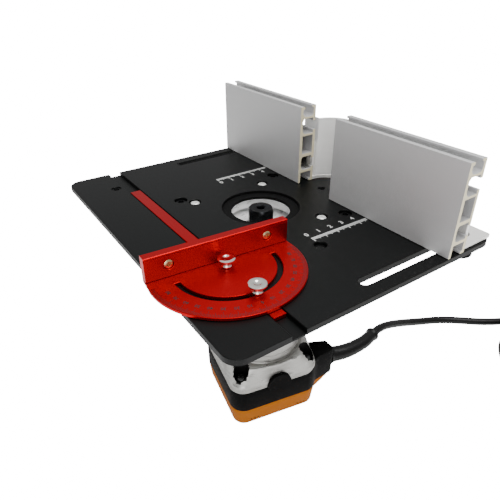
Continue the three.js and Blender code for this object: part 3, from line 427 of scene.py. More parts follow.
def turned(profile, sides=48, joins=skin):
    """A solid of revolution about the Z axis, from (radius, height) pairs going up the outside. With
    hollow_skin the pairs go round a tube's wall."""
    return joins(np.array([
        np.column_stack((circle(0, 0, r, sides), np.full(sides, z))) for r, z in profile]))


def moved(solid, x=0, y=0, z=0):
    """Moves a solid by millimetres along each axis."""
    return np.asarray(solid[0]) + (x, y, z), solid[1]


def along_x(solid):
    """Lays an upright solid down, so that its Z runs along X, its X along Y and its Y along Z."""
    return np.asarray(solid[0])[:, [2, 0, 1]], solid[1]


def along_y(solid):
    """Lays an upright solid down, so that its Z runs along Y, its X along Z and its Y along X."""
    return np.asarray(solid[0])[:, [1, 2, 0]], solid[1]


def spun(points, turn):
    """Points turned about the Z axis by an angle."""
    c, s = math.cos(turn), math.sin(turn)
    x, y, *rest = np.asarray(points, float).T
    return np.column_stack((c * x - s * y, s * x + c * y, *rest))


def on_plate(solid):
    """Moves a solid from the plate's own frame, whose zero is its front left top corner."""
    return np.asarray(solid[0]) + plate_corner / MM, solid[1]


# ---------------------------------------------------------------- router casting
# The gearless front of the motor is one aluminium casting: a turned tube that the collar grips, a ledge,
# and a square flange whose corners run up to the tube and hold the long case screws in round notches.
satin_casting = finish_of("turned_cast_aluminium", "#a9a8a4", 0.36, 0.92, (9, 9, 1.6), 0.28, 0.14, 0.2)
BODY_HALF, BODY_CORNER = 38.2, 12.0
CASE_TURN = math.radians(-11.5)  # the square case stands a little turned in the clamp
LOOP = 288
angle = np.linspace(0, 2 * np.pi, LOOP, endpoint=False)
unit = np.column_stack((np.cos(angle), np.sin(angle)))
own = np.column_stack((np.cos(angle - CASE_TURN), np.sin(angle - CASE_TURN)))  # in the case's own frame


def body_outline(inset, boss_reach=0):
    """Points where rays from the router's axis meet the rounded square case, joined smoothly to the
    cord's boss. Each ray is halved until it lies on the union's signed distance of minus the inset."""

    def distance(p, centre, half_size, r):
        q = np.abs(p - centre) - half_size + r
        return np.linalg.norm(np.maximum(q, 0), axis=1) + np.minimum(q.max(1), 0) - r

    near, far = np.zeros(LOOP), np.full(LOOP, 90.0)
    for _ in range(40):
        reach = (near + far) / 2
        d = distance(own * reach[:, None], np.zeros(2), BODY_HALF, BODY_CORNER)
        if boss_reach:
            p = unit * reach[:, None]
            boss = distance(p, np.array([28.4, boss_reach - 16]), np.array([9.0, 16.0]), 4.0)
            blend = np.clip(0.5 + 0.5 * (boss - d) / 3, 0, 1)
            d = boss * (1 - blend) + d * blend - 3 * blend * (1 - blend)
        outside = d > -inset
        far = np.where(outside, reach, far)
        near = np.where(outside, near, reach)
    return unit * near[:, None]


def stacked(rows):
    """Rings from (outline, height) rows, where height is one number or one for each point."""
    rings = []
    for outline, height in rows:
        z = np.broadcast_to(height, (len(outline),))
        rings.append(np.column_stack((outline, z)))
    return np.array(rings) + axis_xy


square = body_outline(0)
at_corner = ease((np.abs(np.sin(2 * (angle - CASE_TURN))) - 0.35) / 0.4)[:, None]


def casting_row(z, corner_share, side_share, radius):
    """A ring part way from a circle to the square outline: share s gives r (1 - s) + square s."""
    share = at_corner * corner_share + (1 - at_corner) * side_share
    return unit * radius * (1 - share) + square * share, z


tube_rows = [casting_row(*row) for row in (
    (38, 1, 1, 37), (42, 1, 1, 37), (43, 0.98, 0.9, 37), (44, 0.93, 0.6, 37), (45, 0.88, 0.25, 37),
    (46, 0.84, 0.06, 37), (49, 0.72, 0, 37), (52, 0.58, 0, 37), (55, 0.4, 0, 37.2), (57, 0.25, 0, 37.4),
    (57.8, 0.1, 0, 37.2), (58.2, 0, 0, 36.6),
)]
for z, radius in (
    (58.2, 34.6), (57.6, 34.2), (57.2, 33.6), (57.2, 33.2), (57.9, 32.7), (58.4, 32.5), (63.6, 32.5),
    (63.8, 32.2), (64.2, 32.2), (64.4, 32.5), (163.8, 32.5), (164.6, 32.2), (165, 31.5), (165, 30.5),
    (164.4, 29.5), (163, 28.8), (162.8, 15.5), (163.3, 14.5), (163.3, 12.6), (162.8, 12.2), (152, 12.2),
):
    tube_rows.append((unit * radius, z))
for z, radius in ((120, 12.4), (118, 29), (38, 29)):
    tube_rows.append((unit * radius, z))
NOSE_FOOT, HIDDEN_ROWS = 160, 4  # the machined nose begins at this height and leaves out the bore's rows
nose_rows = [
    r for r, (_, z) in enumerate(tube_rows) if np.max(z) > NOSE_FOOT and r < len(tube_rows) - HIDDEN_ROWS]
# Painted light: the nose's faces take a much lighter, less metallic finish than the rest of the casting. It
# stands in for light that hardly reaches down through the plate's opening.
nose_painted_light = finish_of("nose_painted_light_aluminium", "#f0f0ee", 0.34, 0.25, (5, 5, 2), 0.35, 0.12, 0.2)
casting = make(
    "router_casting", *hollow_skin(stacked(tube_rows)), [satin_casting, nose_painted_light], "motor",
    "cast_aluminium", ("motor_housing",), 34,
    second=np.concatenate([np.arange(r * LOOP, (r + 1) * LOOP) for r in nose_rows]))


def carve(piece, cutters):
    """Cuts the given solids, clear of one another, out of a piece and keeps the result as its mesh."""
    verts, faces = joined(*cutters)
    mesh = bpy.data.meshes.new("cutter")
    mesh.from_pydata((verts * MM).tolist(), [], faces)
    tool = bpy.data.objects.new("cutter", mesh)
    bpy.context.scene.collection.objects.link(tool)
    cut = piece.modifiers.new("cut", "BOOLEAN")
    cut.operation, cut.solver, cut.object = "DIFFERENCE", "EXACT", tool
    cut.material_mode = "INDEX"
    evaluated = piece.evaluated_get(bpy.context.evaluated_depsgraph_get())
    carved = bpy.data.meshes.new_from_object(evaluated)
    piece.modifiers.remove(cut)
    old = piece.data
    piece.data = carved
    bpy.data.meshes.remove(old)
    bpy.data.objects.remove(tool)
    bpy.data.meshes.remove(mesh)
    shade(carved, SHARP)
    carved.update()


screw_spots = []
for number in (1, 2, 3, 4):
    x, y, _ = middle(f"case_screw_{number}")
    screw_spots.append((x, y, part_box(f"case_screw_{number}")[1].z / MM))
POCKET, POCKET_FLOOR, POCKET_TOP = 6.1, 45.3, 75
notches = []
for x, y, _ in screw_spots:
    notches.append(layered([(circle(x, y, POCKET, 40), z) for z in (POCKET_FLOOR, POCKET_TOP)]))
carve(casting, notches)

# Painted shade: the faces of the screws' notches take a near-black finish for the shade deep inside them.
notch_painted_shade = finish_of("notch_painted_shade_finish", "#030303", 0.6, 0, (0.5, 0.5, 0.5), 0.2, 0.05, 0.1,
                         Specular_IOR_Level=0.15)
casting.data.materials.append(notch_painted_shade)
for face in casting.data.polygons:
    x, y, z = np.array(face.center) / MM
    off = min(math.hypot(x - spot[0], y - spot[1]) for spot in screw_spots)
    if 45 < z < 60 and off < POCKET + 0.2:
        face.material_index = 2

zinc = finish_of("zinc_plated_steel", "#efefec", 0.35, 0.6, (0.5, 0.5, 0.5), 0.1, 0.1, 0.1)
black_moulding = finish_of("black_moulded_nylon", "#010101", 0.55, 0, (0.6, 0.6, 0.6), 0.2, 0.07, 0.2,
                            Specular_IOR_Level=0.06)

# ---------------------------------------------------------------- middle case, end cap and case screws
# Behind the flange the case is moulded: a black band with a round lobe over a brush and the boss that
# holds the cord, then an orange end cap, tapered to the foot that the router stands on.
BAND_TOP, CAP_TOP, BOSS_END = 38.0, 18.0, 52.0
orange_moulding = finish_of("orange_moulded_nylon", "#a85e00", 0.5, 0, (0.5, 0.5, 0.5), 0.06, 0.06, 0.2,
                             Specular_IOR_Level=0.12)
LOBE = 10.5
band_boss, inner = body_outline(0, BOSS_END), body_outline(3.2)
# the band's rim climbs by BOSS_RISE towards the cord's boss, over the 16 mm before it
BOSS_RISE, CLIMB_FROM = 6.5, 26
towards_boss = band_boss @ (0.28, 0.96)
band_rim = BAND_TOP - 0.15 + BOSS_RISE * ease((towards_boss - CLIMB_FROM) / 16) * (band_boss[:, 0] > 0)
band_shell = hollow_skin(stacked([
    (band_boss * 0.995, CAP_TOP + 0.15), (band_boss, CAP_TOP + 0.6), (band_boss * 1.004, BAND_TOP - 5),
    (band_boss * 1.004, band_rim - 0.6), (band_boss * 0.995, band_rim), (inner, BAND_TOP - 0.15),
    (inner, CAP_TOP + 0.15),
]))
make("middle_case", *band_shell, [black_moulding], "motor", "black_plastic", ("mid_case",), 34)


def on_case(solid):
    """Moves a solid from the case's own turned frame, whose Z axis is the router's."""
    return spun(solid[0], CASE_TURN) + axis_xy, solid[1]


# the round lobe over a brush stands up from the band into the casting
around_lobe = np.linspace(0, 2 * np.pi, 64, endpoint=False)
LOBE_FACE = BODY_HALF + 1.6
lobe_rows = []
for x, r in ((33.0, LOBE), (LOBE_FACE - 0.4, LOBE), (LOBE_FACE, LOBE - 0.4), (LOBE_FACE, LOBE - 3)):
    rim_z = np.maximum(BAND_TOP + r * np.sin(around_lobe), BAND_TOP - 4)
    lobe_rows.append(np.column_stack((np.full(64, x), r * np.cos(around_lobe), rim_z)))
lobe_solid = on_case(skin(np.array(lobe_rows)))
make("brush_lobe", *lobe_solid, [black_moulding], "motor", "black_plastic", (), 34)
cap_rows = [
    (4.2, 0), (2.8, 0.5), (2.1, 1.6), (1.8, 3.2), (1.2, 8), (0.8, 11), (0.4, 14), (0.1, CAP_TOP - 0.9),
    (0.4, CAP_TOP - 0.15), (3.2, CAP_TOP - 0.15), (3.4, 6), (14, 5.8),
]
cap_solid = skin(stacked([
    (body_outline(inset, (BOSS_END - 3 - 1.6 * (CAP_TOP - z)) if z > 9 and inset < 3 else 0), z)
    for inset, z in cap_rows]))
# The black inlays are painted shade: they stand for the dark inside of each slot.
vents = []  # the slots that air is drawn through, as black inlays in the cap's side
for y in (-23.5, -20.5, -17.5, 19, 22, 25):
    vents.append(upright(rounded(BODY_HALF - 4, y - 0.7, BODY_HALF - 1.45, y + 0.7, 0.5, 4), 4.2, 6.6, 0))
make("cap_vents", *on_case(joined(*vents)), [black_moulding], "motor", "orange_plastic", (), 30)
make("end_cap_moulding", *cap_solid, [orange_moulding], "motor", "orange_plastic", ("end_cap",), 34)

# ---------------------------------------------------------------- table plate
# 4 mm aluminium plate, milled, its top anodised black: a stepped round opening for the cutter, a slot
# across for the gauge's bar, a slot at each end for the fence's bolts and sunk holes for screws.
PLATE = (242.2, 193.8, 4.1)
SPINDLE = (121.6, 101.1)
SLOT_Y, SLOT_W, SLOT_D = 38.0, 9.1, 2.9
OPENING, THROAT, LEDGE = 27.5, 21.0, 2.0  # the cutter's stepped hole: its two radii and its ledge's depth
BOLT_INSET = 12.5  # from the plate's ends to the middle of each bolt slot
EDGE, UNDER = 0.3, -6  # how far an edge is broken, and a height below the plate's underside
black_anodised = finish_of("black_anodised_plate", "#040505", 0.42, 0, (0.35, 0.35, 0.35), 0.2, 0.06, 0.05,
                            Specular_IOR_Level=0.14)
plate_solid = upright(rounded(0, 0, PLATE[0], PLATE[1], 9), -PLATE[2], 0, 0.35)
plate = make("plate", *on_plate(plate_solid), [black_anodised], "table", "black_anodised",
             ("table_plate",), 30)


def sunk(x, y, hole, sink, depth, sides=40):
    """Cutter for a screw hole with a flat-bottomed recess and a broken top edge."""
    wide = sink + EDGE
    return moved(turned([
        (hole, UNDER), (hole, -depth), (sink, -depth), (sink, -EDGE), (wide, 0), (wide, 1)], sides), x, y)


def slot_along_y(x, y0, y1, width):
    """Cutter for a round-ended slot along Y, right through, with a broken top edge."""
    r = width / 2
    loop = np.vstack([
        np.column_stack((x + r * np.cos(t), yy + r * np.sin(t)))
        for t, yy in ((np.linspace(0, np.pi, 16), y1 - r), (np.linspace(np.pi, 2 * np.pi, 16), y0 + r))])
    return layered([(loop, UNDER), (loop, -EDGE), (grown(loop, EDGE), 0), (grown(loop, EDGE), 1)])


# the slot for the gauge's bar, open at both ends of the plate
near, far = SLOT_Y - SLOT_W / 2, SLOT_Y + SLOT_W / 2
groove_loop = np.array([
    (near, -SLOT_D), (far, -SLOT_D), (far, -EDGE), (far + EDGE, 0), (far + EDGE, 1), (near - EDGE, 1),
    (near - EDGE, 0), (near, -EDGE)])
groove = along_x(layered([(groove_loop, -1.0), (groove_loop, PLATE[0] + 1)]))
silver_spots, black_spots = (
    [middle(f"{kind}_screw_{number}")[:2] - plate_corner[:2] / MM for number in (1, 2, 3, 4)]
    for kind in ("base", "black"))
corner_spots = [(x, y) for x in (32, PLATE[0] - 32) for y in (27.9, PLATE[1] - 27.9)]
plate_cutters = [
    groove,
    moved(turned([
        (THROAT, UNDER), (THROAT, -LEDGE - EDGE), (THROAT + EDGE, -LEDGE), (OPENING, -LEDGE),
        (OPENING, -0.35), (OPENING + 0.35, 0), (OPENING + 0.35, 1)], 96), *SPINDLE),
    slot_along_y(BOLT_INSET, 90, 186, 7),
    slot_along_y(PLATE[0] - BOLT_INSET, 90, 186, 7),
    sunk(186.7, 99.9, 2.4, 4.25, 2.4),
    moved(turned([(2.7, UNDER), (2.7, -EDGE), (3, 0), (3, 1)], 40), 122.5, 157.6),
]
plate_cutters += [sunk(x, y, 1.9, 4.25, 2.2) for x, y in silver_spots]
plate_cutters += [sunk(x, y, 2.2, 3.7, 0.8) for x, y in corner_spots]
carve(plate, [on_plate(c) for c in plate_cutters])
# the black screws' recesses run into the silver ones', so they are cut on their own
carve(plate, [on_plate(sunk(x, y, 2.2, 4.7, 3.0)) for x, y in black_spots])
# Painted shade: the walls and ledge of the cutter's opening take a near-black finish for the shade down
# inside it.
opening_painted_shade = finish_of("opening_painted_shade_finish", "#020202", 0.7, 0, (0.5, 0.5, 0.5), 0.2, 0.05, 0.05,
                         Specular_IOR_Level=0.1)
plate.data.materials.append(opening_painted_shade)
for face in plate.data.polygons:
    x, y, z = np.array(face.center) / MM - plate_corner / MM
    if math.hypot(x - SPINDLE[0], y - SPINDLE[1]) < OPENING + 0.2 and -PLATE[2] + 0.05 < z < -0.1:
        face.material_index = 1

# The rulers: engraved through the black to the bright metal, one on each side of the opening, with a
# number at each centimetre from the spindle's line back to the fence.
engraving = finish_of("engraved_bright_metal", "#b4b5b3", 0.6, 0, (0.5, 0.5, 0.5), 0.1, 0.08, 0)
INK = 0.04  # how far an engraved mark's fill stands over its face


def mark(x0, y0, x1, y1):
    """A thin bar standing for one engraved line in the plate's top."""
    return upright(rect_loop(x0, y0, x1, y1), -0.2, INK, 0)


def figures(text, x, y, size, z, turn=0.0):
    """A number as a thin solid, centred on a point and turned by an angle."""
    curve = bpy.data.curves.new("figures", "FONT")
    curve.body, curve.size, curve.align_x, curve.align_y = text, size, "CENTER", "CENTER"
    curve.extrude, curve.resolution_u, curve.offset = 0.1, 3, 0.02 * size
    letters = bpy.data.objects.new("figures", curve)
    bpy.context.scene.collection.objects.link(letters)
    mesh = bpy.data.meshes.new_from_object(
        letters.evaluated_get(bpy.context.evaluated_depsgraph_get()))
    co = np.array([v.co for v in mesh.vertices])
    faces = [list(p.vertices) for p in mesh.polygons]
    bpy.data.objects.remove(letters)
    bpy.data.curves.remove(curve)
    bpy.data.meshes.remove(mesh)
    return spun(co, turn) + (x, y, z + INK - 0.1), faces


RULERS = ((61.2, 68.5), (177.6, 172.5))  # where each ruler's line and the middle of its figures stand
FIRST_MARK, MARKS = 100.5, 48
marks = []
for line, digits in RULERS:
    for step in range(MARKS):
        y = FIRST_MARK + step
        reach = 4.0 if step % 10 == 0 else 3.0 if step % 5 == 0 else 2.2
        marks.append(mark(line, y - 0.32, line + reach, y + 0.32))
    marks.append(mark(line - 0.4, 100.2, line, 148.3))
    for number in range(5):
        marks.append(figures(str(number), digits, 100.7 + 10 * number, 5.2, 0, math.pi / 2))
make("plate_rulers", *on_plate(joined(*marks)), [engraving], "table", "black_anodised", (), 30)

# ---------------------------------------------------------------- fence
# Two lengths of one silver anodised extrusion, with a flat front, T-slots behind for the bolts and an
# open channel along the top.
FENCE_Y, LIFTED = 148.5, 0.3  # the fence's front, and its height over the plate
satin_silver = finish_of("satin_silver_anodised", "#bdbdbd", 0.5, 0.5, (30, 0.5, 0.5), 0.03, 0.04, 0.03)
sawn_end = finish_of("sawn_aluminium_end", "#d8cfb0", 0.5, 0.35, (0.4, 0.4, 0.4), 0.12, 0.1, 0.2)
profile = np.array([
    (0, 0), (2, 0), (2, 8.1), (12.3, 8.1), (12.3, 1.6), (10.8, 1.6), (10.8, 0), (14.5, 0), (14.5, 11.7),
    (12.3, 11.7), (12.3, 10.1), (4.4, 10.1), (2.8, 11.1), (2.1, 13.1), (2.1, 18.8), (3.4, 20.8), (12.3, 20.8),
    (12.3, 18.6), (14.5, 18.6), (14.5, 40.7), (12.3, 40.7), (12.3, 38.4), (4.4, 38.4), (2.6, 40), (2.1, 42),
    (2.1, 47.8), (3.6, 49.8), (11.9, 49.8), (11.9, 47.6), (14.1, 47.6), (14.1, 59), (10.3, 59), (10.3, 57.6),
    (11.9, 57.6), (11.9, 52.5), (10.3, 51.3), (7.5, 51), (3.8, 51.5), (2, 53.4), (2, 56.5), (3.4, 56.8),
    (3.8, 57.7), (3.4, 58.5), (2.4, 58.7), (0, 58.7),
])
softened = []
for before, corner, after in zip(np.roll(profile, 1, 0), profile, np.roll(profile, -1, 0)):
    a, b = before - corner, after - corner
    r = min(0.18, np.linalg.norm(a) / 3, np.linalg.norm(b) / 3)
    softened += [corner + a / np.linalg.norm(a) * r, corner + b / np.linalg.norm(b) * r]
softened = np.array(softened)
core = np.array([(2.4, 23.1), (12.3, 23.1), (12.3, 36.9), (2.4, 36.9)])
for name, start, end, node, body in (
    ("left_fence", 0.0, 105.2, "fence_left", "left_face"),
    ("right_fence", 140.9, PLATE[0], "fence_right", "right_face"),
):
    bar_solid = along_x(upright(softened + (FENCE_Y, LIFTED), start, end, 0))
    count = len(softened)
    length = make(name, *on_plate(bar_solid), [satin_silver, sawn_end], body, "silver_anodised", (node,), 30,
                  second=(count, count + 1))
    hollow = along_x(upright(core + (FENCE_Y, LIFTED), start - 1, end + 1, 0))
    carve(length, [on_plate(hollow)])

# ---------------------------------------------------------------- fence bracket
# A bright aluminium angle that both fences are bolted to. Its foot lies on the plate and is cut round
# behind the cutter, where the hood stands in the gap of its upright flange.
BRACKET_Y, BRACKET_BACK, FOOT_BACK = 163.4, 165.8, 192.4
FLANGE_LOW, FLANGE_TOP = 0.35, 29.9
HOOD_X, HOOD_Y, HOOD_R = 123.05, 163.4, 18.0
GAP_HALF, ENDS_IN = 19.5, 1.5  # half the flange's gap, and how far the angle stops short of the plate's ends
bright = finish_of("bright_rolled_aluminium", "#ecebe7", 0.36, 0.5, (25, 0.6, 25), 0.05, 0.08, 0.05)
foot = upright(rounded(ENDS_IN, BRACKET_Y, PLATE[0] - ENDS_IN, FOOT_BACK, 1.5, 5), 0.3, 2.8, 0.3)
flange_halves = []
for start, end in ((ENDS_IN, HOOD_X - GAP_HALF), (HOOD_X + GAP_HALF, PLATE[0] - ENDS_IN)):
    face = rounded(FLANGE_LOW, start, FLANGE_TOP, end, 0.8, 4)
    flange_halves.append(along_y(upright(face, BRACKET_Y, BRACKET_BACK, 0.3)))
bracket = make("bracket", *on_plate(foot), [bright], "fence_carriage", "bright_aluminium",
               ("fence_bracket",), 30)
round_gap = turned([(HOOD_R, -1), (HOOD_R, 2.6), (HOOD_R + 0.3, 2.9), (HOOD_R + 0.3, 4)], 80)
holes = [on_plate(moved(round_gap, HOOD_X, HOOD_Y))]
for x in (BOLT_INSET, PLATE[0] - BOLT_INSET):
    holes.append(on_plate(moved(turned([(3.2, -1), (3.2, 1.4), (5, 1.4), (5, 4)], 40), x, 178)))
carve(bracket, holes)
make("bracket_flange", *on_plate(joined(*flange_halves)), [bright], "fence_carriage",
     "bright_aluminium", (), 30)

# The hood: one bright sheet bent to a half round, with a wing bolted behind the flange on each side.
SHEET_FRONT, SHEET_BACK, WING = 166.1, 167.3, 34
HOOD_OUT = HOOD_R + 1.2
sheet_in = math.asin((SHEET_FRONT - HOOD_Y) / HOOD_R)
sheet_out = math.asin((SHEET_BACK - HOOD_Y) / HOOD_OUT)
inside = np.linspace(math.pi - sheet_in, sheet_in, 56)
outside = np.linspace(sheet_out, math.pi - sheet_out, 56)
hood_loop = np.vstack((
    [(HOOD_X - WING, SHEET_BACK), (HOOD_X - WING, SHEET_FRONT)],
    np.column_stack((HOOD_X + HOOD_R * np.cos(inside), HOOD_Y + HOOD_R * np.sin(inside))),
    [(HOOD_X + WING, SHEET_FRONT), (HOOD_X + WING, SHEET_BACK)],
    np.column_stack((HOOD_X + HOOD_OUT * np.cos(outside), HOOD_Y + HOOD_OUT * np.sin(outside))),
))
polished = finish_of("polished_aluminium_sheet", "#f4f4f2", 0.42, 0.3, (25, 25, 0.8), 0.05, 0.06, 0.05)
hood_solid = upright(hood_loop, 3.1, 48.5, 0.15)
make("half_round_hood", *on_plate(hood_solid), [polished], "fence_carriage", "bright_aluminium",
     ("dust_hood",), 30)

# ---------------------------------------------------------------- mitre gauge
# A flat bar slides in the plate's slot. A half disc turns on it about a knob, held by a second knob in
# its arc slot, and carries the gauge's fence. All of it is machined aluminium, anodised red.
PIVOT, KNOB_APART = (177.6, SLOT_Y), 30.1
BAR_HALF = 3.85
GAUGE_TURN = math.radians(-4.2)
red_anodised = finish_of("red_anodised", "#b4000e", 0.38, 1, (0.3, 0.3, 0.3), 0.03, 0.04, 0.015)
bar_loop = rect_loop(45, SLOT_Y - BAR_HALF, 227, SLOT_Y + BAR_HALF)
bar_solid = upright(bar_loop, -2.6, -0.1, 0.25)
slide_bar = make("gauge_bar", *on_plate(bar_solid), [red_anodised], "gauge_slider", "red_anodised",
                 ("mitre_bar",), 30)
stud = turned([(1.9, -4), (1.9, 1)], 32)
carve(slide_bar, [on_plate(moved(stud, PIVOT[0] + dx, PIVOT[1])) for dx in (0, KNOB_APART)])


def on_gauge(solid):
    """Moves a solid from the gauge head's frame: X across its fence, Y along it, about the pivot."""
    return on_plate((spun(solid[0], GAUGE_TURN) + (*PIVOT, 0), solid[1]))


RIM, DISC_TOP = 45.6, 2.2
RAIL_BACK, RAIL_FRONT, RAIL_HALF = 12.4, 7.0, 45.0
sweep = np.linspace(-math.pi / 2, math.pi / 2, 90)
disc_loop = np.vstack((
    [(-RAIL_BACK, -RAIL_HALF)], np.column_stack((RIM * np.cos(sweep), RIM * np.sin(sweep))),
    [(-RAIL_BACK, RAIL_HALF)]))
disc = make("half_disc", *on_gauge(upright(disc_loop, 0.3, DISC_TOP, 0.25)), [red_anodised], "gauge_head",
            "red_anodised", ("protractor",), 30)
wide = np.radians(np.linspace(-89, 89, 80))
arc_loop = np.vstack((
    np.column_stack((31.8 * np.cos(wide), 31.8 * np.sin(wide))),
    np.column_stack((28.4 * np.cos(wide[::-1]), 28.4 * np.sin(wide[::-1])))))
flared_arc = grown(arc_loop, 0.2)
arc_cut = layered([
    (arc_loop, -1), (arc_loop, DISC_TOP - 0.2), (flared_arc, DISC_TOP), (flared_arc, DISC_TOP + 1)])
carve(disc, [on_gauge(arc_cut)])
black_ink = finish_of("engraved_black", "#0a0406", 0.5, 0, (1, 1, 1), 0.1, 0.05, 0)
FIGURES_AT = 38.2
degrees = []
for step in range(-90, 91):
    turn = math.radians(step)
    long = 4.6 if step % 10 == 0 else 3.6 if step % 5 == 0 else 2.4
    line = rect_loop(RIM - 0.4 - long, -0.1, RIM - 0.4, 0.1)
    degrees.append(upright(spun(line, turn), DISC_TOP - 0.2, DISC_TOP + INK, 0))
    if step % 10 == 0 and abs(step) < 90:
        x, y = FIGURES_AT * math.cos(turn), FIGURES_AT * math.sin(turn)
        degrees.append(figures(str(abs(step)), x, y, 3.0, DISC_TOP, turn - math.pi / 2))
make("degree_marks", *on_gauge(joined(*degrees)), [black_ink], "gauge_head", "red_anodised", (), 30)

rail_loop = np.array([
    (-RAIL_BACK, 2.5), (-RAIL_FRONT, 2.5), (-RAIL_FRONT, 15.35), (-7.35, 15.5), (-7.35, 15.8),
    (-RAIL_FRONT, 15.95), (-RAIL_FRONT, 16.8), (-7.3, 17.1), (-12.1, 17.1), (-RAIL_BACK, 16.8)])
rail_ends = [
    np.column_stack((rail_loop[:, 0], np.full(len(rail_loop), y), rail_loop[:, 1]))
    for y in (RAIL_HALF, -RAIL_HALF)]
rail_solid = skin(np.array(rail_ends))
rail = make("gauge_rail", *on_gauge(rail_solid), [red_anodised], "gauge_head", "red_anodised",
            ("gauge_fence",), 30)
RAIL_SCREWS, RAIL_SCREW_Z = (-31, 31), 9.8
sink = along_x(turned([(3, -8.5), (3, -7.2), (3.3, -6.9), (3.3, -5)], 40))
carve(rail, [on_gauge(moved(sink, 0, y, RAIL_SCREW_Z)) for y in RAIL_SCREWS])

brass = finish_of("brassy_zinc", "#cbb98d", 0.3, 1, (0.4, 0.4, 0.4), 0.1, 0.08, 0.1)


def cross_cut(radius, depth, top, width):
    """A cross-shaped post for a screw's drive, sunk from the given height."""
    a, b = radius, width / 2
    loop = np.array([
        (a, -b), (a, b), (b, b), (b, a), (-b, a), (-b, b), (-a, b), (-a, -b), (-b, -b), (-b, -a), (b, -a),
        (b, -b)])
    return upright(loop, top - depth, top + 2, 0)


for number, y in enumerate(RAIL_SCREWS, 1):
    head = along_x(turned([
        (1.4, -12.3), (1.4, -8.3), (2.7, -8.3), (2.7, -7.6), (2.2, -7.25), (1.2, -7.1), (0.2, -7.05)], 40))
    screw = make(f"rail_screw_{number}", *on_gauge(moved(head, 0, y, RAIL_SCREW_Z)), [brass],
                 "gauge_head", "steel", (f"gauge_screw_{number}",), 30)
    drive = along_x(cross_cut(1.7, 0.8, -7.0, 0.6))
    carve(screw, [on_gauge(moved(drive, 0, y, RAIL_SCREW_Z))])

chrome = finish_of("bright_chrome", "#dedcd6", 0.1, 1, (1, 1, 1), 0.03, 0.03, 0.01)
knob_profile = [
    (1.6, -2.5), (1.6, 2.6), (3, 2.6), (3, 3.3), (2.7, 3.7), (2.5, 5), (2.6, 6.8), (4.9, 7.0), (5.2, 7.2),
    (5.2, 8.0), (4.95, 8.3), (4.5, 8.42), (2.6, 8.42), (2.2, 8.3), (1.6, 8.0), (0.8, 7.85), (0.1, 7.8),
]
for name, x, node, body in (
    ("pivot_screw", PIVOT[0], "pivot_knob", "pivot_hand"),
    ("clamping_knob", PIVOT[0] + KNOB_APART, "lock_knob", "lock_hand"),
):
    make(name, *on_plate(moved(turned(knob_profile, 64), x, PIVOT[1])), [chrome], body, "chrome", (node,), 35)

# ---------------------------------------------------------------- collet nut and screws
# Turned and milled steel: a black oxide nut with a rounded top for the cutter's collet, silver cross-head
# screws through the plate into the clamp's flange, and black socket screws round them.
black_oxide = finish_of("black_oxide_steel", "#17181a", 0.32, 0.85, (0.5, 0.5, 0.5), 0.2, 0.1, 0.1)
# Painted shade: the long case screws take a dark steel finish for the shade deep in the casting's notches.
screw_painted_shade = finish_of("screw_steel_painted_shade", "#4a4a4a", 0.3, 0.9, (0.5, 0.5, 0.5), 0.2, 0.1, 0.1)
NUT_FLATS, NUT_TOP = 17.0, 177.3
around_nut = np.linspace(0, 2 * np.pi, 144, endpoint=False)
to_flat = NUT_FLATS / 2 / np.cos((around_nut + np.pi / 6) % (np.pi / 3) - np.pi / 6)
nut_rows = [
    (12, 162.4), (12, 172), (9.83, 175.5), (9.4, 175.9), (8.2, 177.2), (8.0, NUT_TOP), (3.5, NUT_TOP),
    (3.0, 176.7), (3.0, 168)]
nut_rings = np.array([
    np.column_stack((np.minimum(to_flat, r) * np.cos(around_nut), np.minimum(to_flat, r) * np.sin(around_nut),
                     np.full(144, z))) for r, z in nut_rows])
make("clamping_nut", *moved(skin(nut_rings), *axis_xy), [black_oxide], "armature", "black_steel",
     ("collet_nut",), 25)
for number, (x, y) in enumerate(silver_spots, 1):
    head = turned([
        (1.8, -11), (1.8, -1.9), (3.25, -1.9), (3.25, -1.1), (2.9, -0.7), (2.2, -0.45), (0.3, -0.4)])
    screw = make(f"flange_screw_{number}", *on_plate(moved(head, x, y)), [zinc], "table", "steel",
                 (f"base_screw_{number}",), 30)
    carve(screw, [on_plate(moved(cross_cut(2.0, 0.9, -0.4, 0.75), x, y))])
for number, (x, y) in enumerate(black_spots, 1):
    head = turned([(2.1, -11), (2.1, -2.7), (4.2, -2.7), (4.2, -1.8), (4.0, -1.55), (0.3, -1.5)])
    screw = make(f"cap_screw_{number}", *on_plate(moved(head, x, y)), [black_oxide], "table", "black_steel",
                 (f"black_screw_{number}",), 30)
    carve(screw, [on_plate(moved(upright(circle(0, 0, 2.4, 6), -2.4, 0, 0), x, y))])
for number, (x, y, z) in enumerate(screw_spots, 1):
    head = turned([
        (1.8, -25), (1.8, -2.4), (3.7, -2.4), (3.7, -1.0), (3.2, -0.4), (2.2, -0.05), (0.3, 0)])
    screw = make(f"long_screw_{number}", *moved(head, x, y, z), [screw_painted_shade], "motor", "steel",
                 (f"case_screw_{number}",), 30)
    carve(screw, [moved(cross_cut(2.2, 1.0, 0, 0.8), x, y, z)])
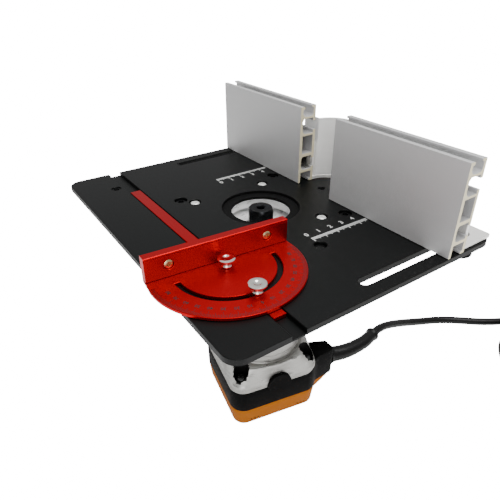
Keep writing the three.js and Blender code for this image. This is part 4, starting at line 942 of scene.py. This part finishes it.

# ---------------------------------------------------------------- router clamp
# One aluminium casting under the plate: a square flange and a split collar, closed round the router by a
# screw across its ears.
# Painted light: the clamp's casting takes a near-white, barely metallic finish, much lighter than the
# router's casting. It stands in for light that hardly reaches under the plate.
clamp_painted_light = finish_of("clamp_casting_painted_light", "#f2f2f0", 0.34, 0.25, (6, 6, 2.5), 0.35, 0.12, 0.25)
FLANGE_HALF, FLANGE_UNDER, FLANGE_TOP_Z = 50, -10.4, -4.4
flange = upright(rounded(-FLANGE_HALF, -FLANGE_HALF, FLANGE_HALF, FLANGE_HALF, 12),
                 FLANGE_UNDER, FLANGE_TOP_Z, 0.5)
clamp = make("clamp_flange", *on_plate(moved(flange, *SPINDLE)), [clamp_painted_light], "table", "cast_aluminium",
             ("router_clamp",), 30)
collar = turned([
    (32.8, -45), (38.6, -45), (39.5, -44.1), (39.5, -11.5), (40.3, -10.6), (40.3, -10.3), (23.2, -10.3),
    (23.2, -11.2), (32.8, -11.2)], 96, hollow_skin)
collar_piece = make("clamp_collar", *on_plate(moved(collar, *SPINDLE)), [clamp_painted_light], "table",
                    "cast_aluminium", (), 30)
collar_slit = upright(rect_loop(-45, -2, -28, 2), -50, -11.3, 0)
carve(collar_piece, [on_plate(moved(collar_slit, *SPINDLE))])
throat = turned([(23, -12), (23, -5), (23.6, FLANGE_TOP_Z), (23.6, -3)], 96)
carve(clamp, [on_plate(moved(throat, *SPINDLE))])

# ---------------------------------------------------------------- pieces that keep their plain shape
# The fixings under and behind the fence, the switch, and everything inside the router.
copper = finish_of("enamelled_copper", "#9a5630", 0.35, 1, (0.4, 0.4, 3), 0.15, 0.1, 0.2)
lamination = finish_of("silicon_steel_laminations", "#77787a", 0.45, 1, (8, 8, 0.35), 0.2, 0.1, 0.2)
plain_steel = finish_of("bright_steel", "#bdbcb8", 0.28, 1, (0.5, 0.5, 0.5), 0.08, 0.08, 0.08)
finish_of_node = {
    "switch_slide": black_moulding, "clamp_screw": black_moulding,
    "slot_knob_left": black_moulding, "slot_knob_right": black_moulding,
    "stator_core": lamination, "armature_core": lamination, "cooling_fan": black_moulding,
    "stator_coil_upper": copper, "stator_coil_lower": copper, "commutator": copper,
    "brush_left": black_moulding, "brush_right": black_moulding,
}
for name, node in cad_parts.items():
    node.data.materials.clear()
    node.data.materials.append(finish_of_node.get(name, plain_steel))
